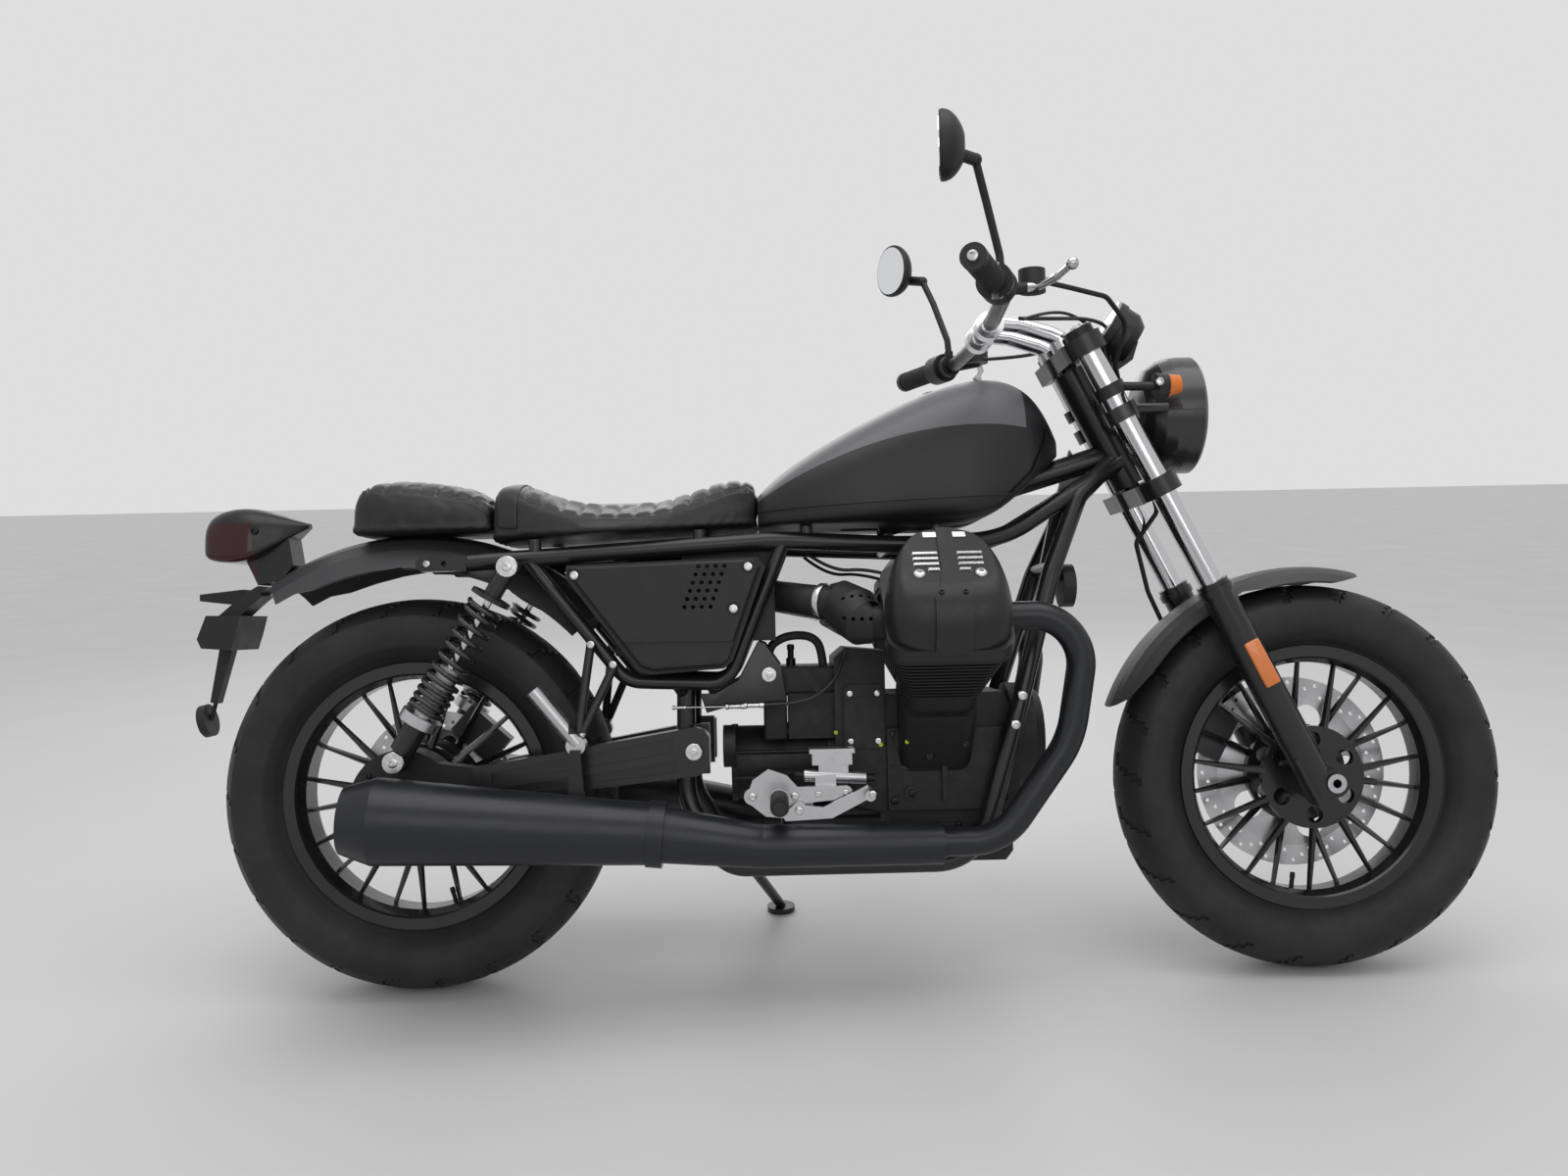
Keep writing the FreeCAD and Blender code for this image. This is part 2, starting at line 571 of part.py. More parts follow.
def cylinders():
    """Barrels and heads, each one piece with its fins; the fins grow towards the head."""
    both = []
    for side, stagger in CYLINDER_SIDES:
        origin, out, down = cylinder_frame(side, stagger)
        parts = [slab(origin, out, down, DECK + SEAT_GAP, FIN_START + 6, 56, 56, 24),
                 slab(origin, out, down, FIN_START, FIN_END, 50, 50, 24)]
        count = int((FIN_END - FIN_START) / FIN_PITCH)
        for i in range(count):
            t = FIN_START + i * FIN_PITCH
            grow = (t - FIN_START) / (FIN_END - FIN_START)
            half = 62 + 26 * grow
            parts.append(slab(origin, out, down, t, t + FIN_THICKNESS, half, half, 24))
        parts.append(slab(origin, out, down, FIN_END - 8, COVER_START - SEAT_GAP, 90, 88, 26))
        both.append(fuse(*parts))
    return Part.makeCompound(both)


def hood(side, stagger, extra):
    """The rocker cover's helmet, swollen by some extra for what stands proud of it."""
    origin, out, down = cylinder_frame(side, stagger)
    rows = []
    for rise, wide, deep in ((0, 1.0, 1.0), (10, 1.0, 1.0), (26, 0.99, 0.98), (44, 0.95, 0.93),
                             (60, 0.88, 0.84),
                             (70, 0.8, 0.74), (COVER_RISE, 0.72, 0.64)):
        swell = 1.0 + extra / 90.0
        row = []
        for x, d in COVER_RING:
            low = COVER_TOP_EDGE + (d - COVER_TOP_EDGE) * deep * swell
            row.append(origin + X * (x * wide * swell) + down * low
                       + out * (COVER_CROWN + rise * (1.0 + extra / COVER_RISE)))
        rows.append(row)
    return skin(rows)


def across_cover(side, stagger, outline):
    """A prism through the rocker cover over an outline of (x, down) points."""
    origin, out, down = cylinder_frame(side, stagger)
    points = [origin + X * x + down * d + out * (COVER_CROWN + 4) for x, d in outline]
    return Part.Face(Part.makePolygon(points + [points[0]])).extrude(out * (COVER_RISE + 20))


def rocker_covers():
    """Helmet-shaped covers with a centre strap that flares at its foot, and raised bars beside it."""
    both = []
    for side, stagger in CYLINDER_SIDES:
        origin, out, down = cylinder_frame(side, stagger)
        base = slab(origin, out, down, COVER_START, COVER_CROWN + 2, 92, 92, 30)
        strap = hood(side, stagger, 4).common(across_cover(side, stagger, [
            (-12, -100), (12, -100), (12, 0), (17, 34), (26, 52), (26, 110), (-26, 110), (-26, 52), (-17, 34),
            (-12, 0)]))
        pieces = [strap]
        for i in range(COVER_BARS):
            d = COVER_BAR_FIRST + i * COVER_BAR_PITCH
            reach = COVER_BAR_REACH if i < COVER_BARS - 1 else COVER_BAR_REACH * 0.6
            for way in (-1, 1):
                pieces.append(hood(side, stagger, 2.2).common(across_cover(side, stagger, [
                    (way * 14.5, d - 2.4), (way * reach, d - 2.4), (way * reach, d + 2.4),
                    (way * 14.5, d + 2.4)])))
        both.append(fuse_in_turn(hood(side, stagger, 0), base, *pieces))
    return Part.makeCompound(both)


def gearbox():
    """Clutch bell behind the crankcase, the round gear case, its top block and the drive shaft's tail."""
    bell = plate([(680, 300), (CASE_REAR - SEAT_GAP, 280), (CASE_REAR - SEAT_GAP, 540), (700, 546),
                  (680, 530)], -84, 84)
    case = rod(V(512, 0, GEAR_CASE_Z), V(684, 0, GEAR_CASE_Z), GEAR_CASE_RADIUS)
    ring = rod(V(668, 0, GEAR_CASE_Z), V(684, 0, GEAR_CASE_Z), GEAR_CASE_RADIUS + 8)
    rear_ring = rod(V(512, 0, GEAR_CASE_Z), V(522, 0, GEAR_CASE_Z), GEAR_CASE_RADIUS + 3)
    block = box(606, 690, -66, 66, 400, 502)
    wing = box(560, 680, -WING_HALF, WING_HALF, 330, 352)
    tail = rod(V(500, -58, PIVOT_Z), V(520, -58, PIVOT_Z), 34)
    pieces = [case, ring, rear_ring, block, wing, tail]
    for side in (-1, 1):
        pad = plate([(694, 384), (758, 384), (758, 478), (750, 486), (702, 486), (694, 478)], side * 82,
                    side * 91)
        pieces += [pad, rod(V(658, side * 64, 486), V(658, side * 74, 486), 13),
                   rod(V(600, side * 56, 410), V(684, side * 56, 410), 8)]
        for angle in (20, -20):
            at = V(0, side * math.cos(math.radians(angle)),
                   math.sin(math.radians(angle))) * (GEAR_CASE_RADIUS + 1)
            pieces.append(rod(V(516, at.y, GEAR_CASE_Z + at.z), V(676, at.y, GEAR_CASE_Z + at.z), 3.5))
    return fuse_in_turn(bell, *pieces)


AIRBOX_FRONT = 588.0


def airbox():
    """Moulded air box between the side panels, with the battery behind it in one block."""
    return fuse(box(440, AIRBOX_FRONT, -88, 88, 560, 703 - SEAT_GAP), box(330, 440, -80, 80, 540, 686))


INTAKE_HOSE_RADIUS = 25.0


def intakes():
    """Throttle body and inlet stub on each head, with the pierced heat shield round them."""
    both = []
    for side, stagger in CYLINDER_SIDES:
        origin, out, down = cylinder_frame(side, stagger)
        head = origin + out * 318 - down * 20 - X * (90 + SEAT_GAP)
        back = V(672, side * 158, 616)
        bend = V(640, side * 134, 622)
        start = back + X * 12 + V(0, side * 3, 0)
        run = (start - bend).normalize()
        hose = bent_bar([start, bend, V(AIRBOX_FRONT + SEAT_GAP, side * 50, 632)], [60], INTAKE_HOSE_RADIUS)
        hose = hose.cut(box(300, AIRBOX_FRONT + SEAT_GAP, -200, 200, 500, 700))
        clamp = rod(bend + run * 22, bend + run * 30, INTAKE_HOSE_RADIUS + 3)
        middle = (head + back) * 0.5
        shield = trumpet([(head - X * 16, 31), (head - X * 26, 36), (middle, 41), (back + X * 14, 37),
                          (back + X * 2, 30)])
        holes = []
        for i in range(SHIELD_HOLES):
            for angle in (-10, 38):
                at = middle + X * (SHIELD_HOLE_PITCH * (i - (SHIELD_HOLES - 1) / 2.0))
                way = V(0, side * math.cos(math.radians(angle)), math.sin(math.radians(angle)))
                holes.append(rod(at + way * 30, at + way * 60, SHIELD_HOLE_RADIUS))
        whole = fuse_in_turn(shield, rod(head, head - X * 30, 26.5), hose, clamp)
        both.append(whole.cut(Part.makeCompound(holes)))
    return Part.makeCompound(both)


def header_route(side, stagger):
    origin, out, down = cylinder_frame(side, stagger)
    port = origin + out * 312 + down * 12 + X * (90 + SEAT_GAP)
    port.z = 590
    return [V(port.x, side * 186, 590), V(1066, side * 188, 592), V(1034, side * 184, 400),
            V(925, side * 182, 249),
            V(840, side * 182, 249)]


def headers():
    both = []
    for side, stagger in CYLINDER_SIDES:
        both.append(bent_tube(header_route(side, stagger), [74, 150, 90], HEADER_RADIUS, 1.6))
    return Part.makeCompound(both)


def trumpet(stations):
    """A round body through circles of changing radius, each square to the way on."""
    rings = []
    for i, (centre, radius) in enumerate(stations):
        before = stations[max(0, i - 1)][0]
        after = stations[min(len(stations) - 1, i + 1)][0]
        rings.append(Part.Wire([Part.Circle(centre, after - before, radius).toShape()]))
    return Part.makeLoft(rings, True, True)


def silencers():
    """Sleeve on the header, straight collector, a collar, and the long tapered body with its cone."""
    both = []
    for side in (-1, 1):
        a = V(834, side * 183, 249)
        b = V(560, side * 187, 250)
        c = V(402, side * 195, 273)
        d = V(-12, side * 224, 306)
        e = V(-58, side * 227, 309)
        inlet = rod(V(840 - SEAT_GAP, side * 182, 249), V(800, side * 182, 249), HEADER_RADIUS + 3)
        front = trumpet([(a, 33), (b, 33), (c, 43)])
        body = trumpet([(c, 46), (d, 65), (e, 50)])
        collar = rod(c + V(12, 0, -1.4), c - V(12, 0, -1), 50)
        lug = plate([(266, 320), (292, 320), (286, 400), (270, 400)], side * 180, side * (172 + SEAT_GAP))
        outlet = rod(e + X * 60 - Z * 4, e - X * 40, 26)
        both.append(fuse_in_turn(front, body, collar, inlet, lug).cut(outlet))
    return Part.makeCompound(both)


# Tail end: swingarm, drive, shocks

def swingarm():
    """Two arms from the pivot, the right one round the drive shaft, the left one to the axle."""
    right = fuse(plate([(PIVOT_X + 4, 428), (PIVOT_X + 4, 352), (DRIVE_JOINT_X, 316), (DRIVE_JOINT_X, 372)],
                       -ARM_OUTER, -ARM_INNER),
                 plate([(PIVOT_X, 428), (PIVOT_X + 16, 424), (PIVOT_X + 24, 412), (PIVOT_X + 24, 368),
                        (PIVOT_X + 16, 356), (PIVOT_X, 351)], -ARM_OUTER, -ARM_INNER))
    hollow = plate([(430, 376), (430, 358), (DRIVE_JOINT_X + 30, 328), (DRIVE_JOINT_X + 30, 338)],
                   -ARM_OUTER - 1, -ARM_OUTER + 6)
    upper_hollow = plate([(424, 412), (424, 388), (DRIVE_JOINT_X + 30, 347), (DRIVE_JOINT_X + 30, 364)],
                         -ARM_OUTER - 1, -ARM_OUTER + 5)
    right = right.cut(hollow).cut(upper_hollow)
    left = plate([(PIVOT_X + 24, 424), (PIVOT_X + 24, 356), (60, 300), (-34, 296), (-34, 344), (60, 352)],
                 ARM_INNER, ARM_OUTER - 8)
    cross = rod(V(388, -ARM_INNER - 6, 382), V(388, ARM_INNER + 6, 382), 20)
    bores = [rod(V(PIVOT_X, s * 60, PIVOT_Z), V(PIVOT_X, s * 200, PIVOT_Z), PIVOT_RADIUS + RUNNING_FIT)
             for s in (-1, 1)]
    axle_bore = rod(REAR_AXLE, REAR_AXLE + Y * 200, AXLE_RADIUS + RUNNING_FIT)
    return fuse(right, left, cross).cut(Part.makeCompound(bores + [axle_bore]))


def final_drive():
    """Bevel box on the right end of the axle, with the shock's foot on its outer side."""
    box_body = fuse(rod(REAR_AXLE - Y * DRIVE_OUTER_Y, REAR_AXLE - Y * DRIVE_INNER_Y, 82),
                    plate([(20, 385), (DRIVE_JOINT_X - SEAT_GAP, 372), (DRIVE_JOINT_X - SEAT_GAP, 316),
                           (20, 290)],
                          -DRIVE_OUTER_Y, -ARM_INNER))
    boss = rod(V(2, -DRIVE_OUTER_Y + 2, 387), V(2, -SHOCK_Y + 14 + SEAT_GAP, 387), 12)
    return fuse(box_body, boss).cut(rod(REAR_AXLE - Y * 200, REAR_AXLE, AXLE_RADIUS + RUNNING_FIT))


def shock_line():
    """Foot and top of the right shock's axis, the way up along it and its length."""
    foot = V(SHOCK_FOOT.x, -SHOCK_Y, SHOCK_FOOT.z)
    top = V(SHOCK_TOP.x, -SHOCK_Y, SHOCK_TOP.z)
    return foot, top, (top - foot).normalize(), (top - foot).Length


SHOCK_Y = 165.0
SHOCK_TOP = V(179, 0, 682)
SHOCK_FOOT = V(2, 0, 387)
SPRING_RADIUS = 30.0
SPRING_WIRE = 4.2               # the wire's own radius
SPRING_STEPS = 12
SPRING_START = 82.0             # spring's foot, up from the lower eye
SPRING_TOP_ROOM = 58.0          # from the upper spring seat to the upper eye
DAMPER_RADIUS = 19.0
ROD_RADIUS = 6.0


def shocks():
    """Damper bodies, rods, eyes, the adjusting collar and the upper spring seat."""
    foot, top, way, length = shock_line()
    seat = length - SPRING_TOP_ROOM
    pieces = [rod(foot - Y * 14, foot + Y * 14, 17), rod(top - Y * 14, top + Y * 14, 16),
              rod(foot, foot + way * 24, 12), rod(foot + way * 18, foot + way * SPRING_START, DAMPER_RADIUS),
              rod(foot + way * (SPRING_START - 16), foot + way * SPRING_START, SPRING_RADIUS + 2),
              rod(foot + way * (SPRING_START - 2), foot + way * 165, 15), rod(foot, top, ROD_RADIUS),
              rod(foot + way * seat, foot + way * (seat + 7), SPRING_RADIUS + 2),
              rod(foot + way * seat, top, 14)]
    return pair(fuse_in_turn(*pieces))


def springs():
    """Helical springs on the dampers, wound close at the foot and wide above."""
    foot, top, way, length = shock_line()
    room = length - SPRING_TOP_ROOM - SPRING_START
    closed = SPRING_WIRE * 2 + 1
    rises = [0.0, closed, closed + 12, closed + 24, closed + 36, closed + 50, closed + 66]
    open_turns = 5
    last = room - 2 * (SPRING_WIRE + SEAT_GAP) - closed
    first = rises[-1]
    for i in range(open_turns):
        rises.append(first + (last - first) * (i + 1) / open_turns)
    rises.append(last + closed)
    start = foot + way * (SPRING_START + SPRING_WIRE + SEAT_GAP)
    across = way.cross(Y)
    rings = []
    for i in range((len(rises) - 1) * SPRING_STEPS + 1):
        turn = min(i // SPRING_STEPS, len(rises) - 2)
        height = rises[turn] + (rises[turn + 1] - rises[turn]) * (i / SPRING_STEPS - turn)
        angle = 2 * math.pi * i / SPRING_STEPS
        out = across * math.cos(angle) + Y * math.sin(angle)
        centre = start + way * height + out * (SPRING_RADIUS - SPRING_WIRE)
        points = [centre + (out * math.cos(math.pi * j / 3) + way * math.sin(math.pi * j / 3)) * SPRING_WIRE
                  for j in range(6)]
        rings.append(Part.makePolygon(points + [points[0]]))
    return pair(Part.makeLoft(rings, True, True))


# Tank, seats, panels and fenders

FUEL_CAP = V(872, 0, 938)
FUEL_CAP_RADIUS = 33.0
TANK_STATIONS = [(563, 92, 796), (590, 124, 824), (650, 146, 866), (740, 158, 914), (840, 162, 962),
                 (930, 158, 985), (990, 132, 975), (1030, 96, 940), (1058, 40, 886)]
SEAM = [(556, 764), (768, 773), (962, 780), (1000, 816), (1026, 868), (1030, 886)]
SEAM_THICKNESS = 3.5
SEAM_REACH = 5.0
PANEL_FACE = 150.0
PANEL_WALL = 4.0
PANEL_BOLTS = [(277, 668), (547, 676), (523, 611)]
PANEL_HOLE = V(470, 0, 678)     # first of the round holes
PANEL_HOLE_PITCH = 13.5
PANEL_HOLE_RADIUS = 3.4


def tank_skin(extra):
    """The tank's outer form, widened by some extra at its sides."""
    rows = []
    for x, half, high in TANK_STATIONS:
        low = TANK_LOW + max(0.0, x - 930.0) * 0.86
        rows.append(soft_row(x, half + extra, low, high, low + (high - low) * 0.52))
    return skin(rows)


def fuel_tank():
    """Pressed tank with its seam lip round the lower edge, tunnelled for the backbone."""
    body = tank_skin(0.0)
    band = SEAM + [(x, z + SEAM_THICKNESS) for x, z in reversed(SEAM)]
    lip = tank_skin(SEAM_REACH).common(plate(band, -200, 200))
    way = (SPINE_FRONT - SPINE_REAR).normalize()
    room = SPINE_RADIUS + 9
    start = SPINE_REAR - way * 60
    end = SPINE_FRONT + way * 40
    tunnel = fuse(rod(start, end, room),
                  plate([(start.x, start.z), (end.x, end.z), (end.x, 700), (start.x, 700)], -room, room))
    seat = rod(FUEL_CAP - Z * SEAT_GAP, FUEL_CAP + Z * 60, FUEL_CAP_RADIUS + SEAT_GAP)
    return fuse_in_turn(body, lip).cut(tunnel).cut(seat)


def fuel_cap():
    return fuse(rod(FUEL_CAP, FUEL_CAP + Z * 24, FUEL_CAP_RADIUS),
                taper(FUEL_CAP + Z * 24, FUEL_CAP + Z * 30, FUEL_CAP_RADIUS, FUEL_CAP_RADIUS - 6))


def rider_seat():
    stations = [(137, 100, 814), (150, 122, 829), (200, 136, 810), (270, 142, 782), (370, 138, 780),
                (450, 122, 794), (520, 104, 824), (548, 94, 830), (562.5, 80, 820)]
    return skin([soft_row(x, half, seat_low(x), high, high - 26, 0.96) for x, half, high in stations])


def pillion_seat():
    """The pad over the rear fender, hollowed to its crown."""
    low = REAR_RADIUS + REAR_FENDER_RADIUS - 3
    stations = [(-94, 72, 56), (-86, 90, 92), (-40, 98, 90), (20, 102, 83), (80, 102, 76), (122, 98, 69),
                (136.5, 88, 58)]
    rows = [soft_row(x, half, low, low + high, low + high - 24, 0.97) for x, half, high in stations]
    return skin(rows).cut(fender_space())


def side_panels():
    """A moulded cover in each side loop: dished rim, crease, bolt recesses and a patch of round holes."""
    outer = -PANEL_FACE
    back = -LOOP_RADIUS - RAIL_SPACING - SEAT_GAP
    outline = [(263, 684), (262, 664), (372, 518), (392, 511), (506, 518), (520, 530), (574, 676), (560, 692)]
    shell = plate(outline, -PANEL_FACE + 10, back)
    face = plate([(268, 681), (268, 668), (376, 524), (396, 517), (500, 522), (514, 533), (566, 676),
                  (556, 688)],
                 outer, -PANEL_FACE + 12)
    edges = [e for e in face.Edges if e.BoundBox.YLength < 0.1 and abs(e.BoundBox.YMin - outer) < 0.1]
    face = face.makeChamfer(4.0, edges)
    inside = plate([(284, 674), (284, 668), (384, 532), (500, 532), (552, 672), (548, 680)], back + 1,
                   outer + PANEL_WALL)
    dish = plate([(352, 562), (534, 561), (506, 526), (396, 522), (376, 530)], outer - 1, outer + 2.5)
    cuts = [inside, dish]
    for x, z in PANEL_BOLTS:
        cuts.append(rod(V(x, outer - 1, z), V(x, outer + 2.4, z), 11))
    for row in range(6):
        for column in range(4):
            x = PANEL_HOLE.x + column * PANEL_HOLE_PITCH - row * 4.6
            z = PANEL_HOLE.z - row * 12.6
            cuts.append(rod(V(x, outer - 1, z), V(x, outer + PANEL_WALL + 2, z), PANEL_HOLE_RADIUS))
    whole = fuse(shell, face)
    for cut in cuts:
        whole = whole.cut(cut)
    return pair(whole)


def arc_shell(centre, outline, start, end):
    """A shell turned part of the way round an axle; angles from straight ahead, upwards."""
    points = [centre + X * r + Y * y for r, y in outline]
    face = Part.Face(Part.makePolygon(points + [points[0]]))
    face.rotate(centre, Y, -start)
    return face.revolve(centre, -Y, end - start)


def crowned_outline(radius, half_width, drop, wall):
    outer = []
    steps = 8
    for i in range(steps + 1):
        f = -1 + 2.0 * i / steps
        outer.append((radius - drop * abs(f) ** 2.6, half_width * f))
    inner = [(r - wall, y * (half_width - wall) / half_width) for r, y in reversed(outer)]
    return outer + inner


def over_wheel(angle, inset=0.0):
    """A point of the middle plane at an angle round the rear axle, so far inside the fender's crown."""
    reach = REAR_FENDER_RADIUS - inset
    return (reach * math.cos(math.radians(angle)), REAR_RADIUS + reach * math.sin(math.radians(angle)))


FRONT_FENDER_HALF = 68.0
REAR_FENDER_GAP = 106.0         # from the tyre's tread to the fender's crown
REAR_FENDER_RADIUS = REAR_RADIUS + REAR_FENDER_GAP
REAR_FENDER_HALF = 92.0
REAR_FENDER_DROP = 58.0


def front_fender():
    shell = arc_shell(FRONT_AXLE, crowned_outline(347, FRONT_FENDER_HALF, 26, 3), 76, 161)
    keep = plate([(1560, 646), (1514, 636), (1447, 624), (1400, 628), (1351, 622), (1300, 590), (1244, 540),
                  (1203, 500), (1162, 452), (1134, 432), (1080, 440), (1240, 760), (1560, 760)], -90, 90)
    shell = shell.common(keep)
    reach = LEG_SPACING - SLIDER_RADIUS - SEAT_GAP
    pads = [raked(rod(V(LEG_OFFSET, s * (FRONT_FENDER_HALF - 9), 668), V(LEG_OFFSET, s * reach, 668), 11))
            for s in (-1, 1)]
    return fuse(shell, *pads)


def fender_space():
    """All the room inside the rear fender and its wall, for what is cut to sit on it."""
    outline = crowned_outline(REAR_FENDER_RADIUS + SEAT_GAP, REAR_FENDER_HALF + SEAT_GAP, REAR_FENDER_DROP,
                              60)
    return arc_shell(REAR_AXLE, outline, 40, 128)


def rear_fender():
    outline = crowned_outline(REAR_FENDER_RADIUS, REAR_FENDER_HALF, REAR_FENDER_DROP, 3)
    shell = arc_shell(REAR_AXLE, outline, 44, 124)
    side_edge = [(118.9, 49), (114, 58), (106.4, 60), (98.8, 59), (91.4, 56), (88, 74), (80.3, 69),
                 (63.7, 58),
                 (49.8, 78), (41.5, 64), (36, 40), (36, -60), (66, -60), (96, -60), (128, -60), (130, 40)]
    keep = plate([over_wheel(angle, inset) for angle, inset in side_edge], -100, 100)
    return shell.common(keep)


def behind_fender(points):
    """Points given from the rear fender's tip, forward and up."""
    x, z = over_wheel(124)
    return [(x + ahead, z + up) for ahead, up in points]


def tail_lamp():
    """Teardrop lamp housing on a short neck that seats on the fender's end."""
    rows = []
    for ahead, half, low, high in ((-105, 40, 45, 97), (-101, 50, 36, 110), (-74, 57, 31, 123),
                                   (-34, 56, 32, 124),
                                   (6, 44, 55, 114), (36, 24, 78, 102), (53, 8, 89, 97)):
        x, bottom = behind_fender([(ahead, low)])[0]
        top = bottom + high - low
        rows.append(soft_row(x, half, bottom, top, bottom + (top - bottom) * 0.5))
    neck = plate(behind_fender([(-48, 45), (26, 78), (34, 27), (16, 3), (-24, -5), (-34, 17)]), -28, 28)
    return fuse_in_turn(skin(rows), neck).cut(fender_space())


def plate_holder():
    """Bracket behind the fender with its wing, the plate's box, a thin leg and the round reflector."""
    arm = plate(behind_fender([(-26, -6), (-52, -21), (-80, -45), (-92, -55), (-84, -63), (-62, -61),
                               (-38, -39),
                               (-2, -9)]), -24, 24)
    wing = plate(behind_fender([(-126, -18), (-126, -29), (-80, -35), (-54, -25), (-54, -11)]), -14, 14)
    holder = plate(behind_fender([(-42, -55), (-98, -54), (-113, -92), (-106, -107), (-58, -111),
                                  (-49, -83)]), -55, 55)
    leg = plate(behind_fender([(-74, -109), (-96, -109), (-112, -197), (-100, -199)]), -10, 10)
    (x0, z0), (x1, z1), (x2, z2) = behind_fender([(-105, -190), (-114, -226), (-127, -229)])
    stub = rod(V(x0, 0, z0), V(x1, 0, z1), 3.5)
    reflector = rod(V(x1, 0, z1), V(x2, 0, z2), 27)
    return fuse_in_turn(holder, arm, wing, leg, stub, reflector).cut(fender_space())


# Foot rests and controls

def footrest_brackets():
    """Cast bracket on each side of the cradle with its folding foot rest."""
    inner = 158
    face = 168
    eyes = [(547, 322, 13), (612, 322, 14), (648, 324, 10), (690, 326, 10)]
    lugs = [rod(V(x, -face, z), V(x, -inner, z), radius) for x, z, radius in eyes]
    blade = plate([(536, 316), (548, 348), (572, 364), (600, 354), (616, 336), (690, 336), (690, 316),
                   (622, 310),
                   (604, 288), (566, 292)], -face, -inner)
    rims = [plate([(548, 348), (572, 364), (600, 354), (616, 336), (612, 332), (598, 348), (573, 357),
                   (552, 344)],
                  -face - 4, -face),
            plate([(616, 336), (690, 336), (690, 332), (612, 332)], -face - 4, -face),
            plate([(604, 288), (566, 292), (568, 297), (602, 293)], -face - 4, -face)]
    arm = box(560, 640, -inner - 2, -FOOT_BOSS_Y - SEAT_GAP, 300, 322)
    rest = fuse(rod(V(588, -face, 318), V(588, -262, 318), 14), rod(V(588, -262, 318), V(588, -272, 318), 9))
    return pair(fuse_in_turn(blade, *lugs, *rims, arm, rest))


def foot_controls():
    """Brake pedal with its master cylinder on the right, gear lever on the left."""
    profile = [(612, 310), (590, 298), (597, 286), (668, 289), (724, 317), (733, 329), (724, 338), (655, 306)]
    hub = rod(V(618, -168 - SEAT_GAP - 4, 302), V(618, -184, 302), 12)
    pedal = fuse(plate(profile, -184, -175), hub, rod(V(724, -180, 327), V(724, -226, 327), 8))
    bore = rod(V(626, -140, 350), V(724, -140, 344), 10)
    reservoir = fuse(box(640, 702, -152, -118, 366, 386), box(636, 706, -155, -116, 384, 391),
                     box(650, 696, -148, -132, 350, 368)).cut(rod(V(668, -156, 372), V(668, -149, 372), 6))
    ends = [rod(V(614, -140, 351), V(628, -140, 350), 6), rod(V(722, -140, 344), V(738, -140, 343), 7)]
    foot = box(644, 676, -158 + SEAT_GAP, -142, 322, 350)
    cylinder = fuse_in_turn(bore, reservoir, foot, *ends)
    lever = fuse(plate([(612, 312), (606, 302), (618, 292), (730, 302), (736, 311), (728, 320)], 175, 183),
                 rod(V(618, 168 + SEAT_GAP + 4, 302), V(618, 184, 302), 12),
                 rod(V(726, 178, 311), V(726, 222, 311), 8))
    return Part.makeCompound([pedal, cylinder, lever])


def pillion_footrests():
    out = RAIL_SPACING + LOOP_RADIUS + 7 + SEAT_GAP
    struts = fuse(rod(V(298, -out, 562), V(278, -158, 406), 7), rod(V(334, -out, 526), V(278, -158, 406), 7))
    peg = fuse(rod(V(279, -160, 408), V(214, -172, 492), 13), rod(V(278, -148, 406), V(278, -172, 406), 15))
    return pair(fuse_in_turn(struts, peg))


def horn():
    case = rod(V(1066, 0, 640), V(1086, 0, 640), 36)
    stay = rod(V(1052 + SEAT_GAP, 0, 662), V(1068, 0, 655), 9)
    return fuse(case, stay).cut(box(1000, 1052, -20, 20, 600, 700))


DISC_GAP = 5.0                  # room beside and past a disc


def caliper(centre, disc_radius, y, angle, inner_y, outer_y):
    """A block astride a disc's edge, at an angle round its axle, slotted for the disc."""
    body = box(disc_radius - 38, disc_radius + 16, inner_y, outer_y, -44, 44)
    body.translate(centre)
    body.rotate(centre, Y, -angle)
    slot = turned([(0, y - DISC_GAP), (disc_radius + DISC_GAP, y - DISC_GAP),
                   (disc_radius + DISC_GAP, y + DISC_THICKNESS + DISC_GAP),
                   (0, y + DISC_THICKNESS + DISC_GAP)], centre)
    return body.cut(slot)


def rear_caliper():
    """The rear caliper on its arm, which has an eye round the axle."""
    block = caliper(REAR_AXLE, REAR_DISC_RADIUS, REAR_DISC_Y, 48, REAR_DISC_Y - 12, REAR_DISC_Y + 22)
    arm = fuse(rod(REAR_AXLE + Y * 83, REAR_AXLE + Y * (ARM_INNER - SEAT_GAP), 24),
               plate([(-14, 334), (16, 306), (96, 372), (58, 414)], 83, 92))
    return fuse(block, arm).cut(rod(REAR_AXLE, REAR_AXLE + Y * 200, AXLE_RADIUS + RUNNING_FIT))


def front_caliper():
    leg = raked(rod(V(LEG_OFFSET, LEG_SPACING, SLIDER_FOOT), V(LEG_OFFSET, LEG_SPACING, SLIDER_TOP),
                    SLIDER_RADIUS + SEAT_GAP))
    block = caliper(FRONT_AXLE, FRONT_DISC_RADIUS, FRONT_DISC_Y, 152, FRONT_DISC_Y - 13, FRONT_DISC_Y + 34)
    arm = rod(V(1330, 78, 402), V(1392, 84, 402), 11)
    return fuse(block, arm).cut(leg)


# Steering

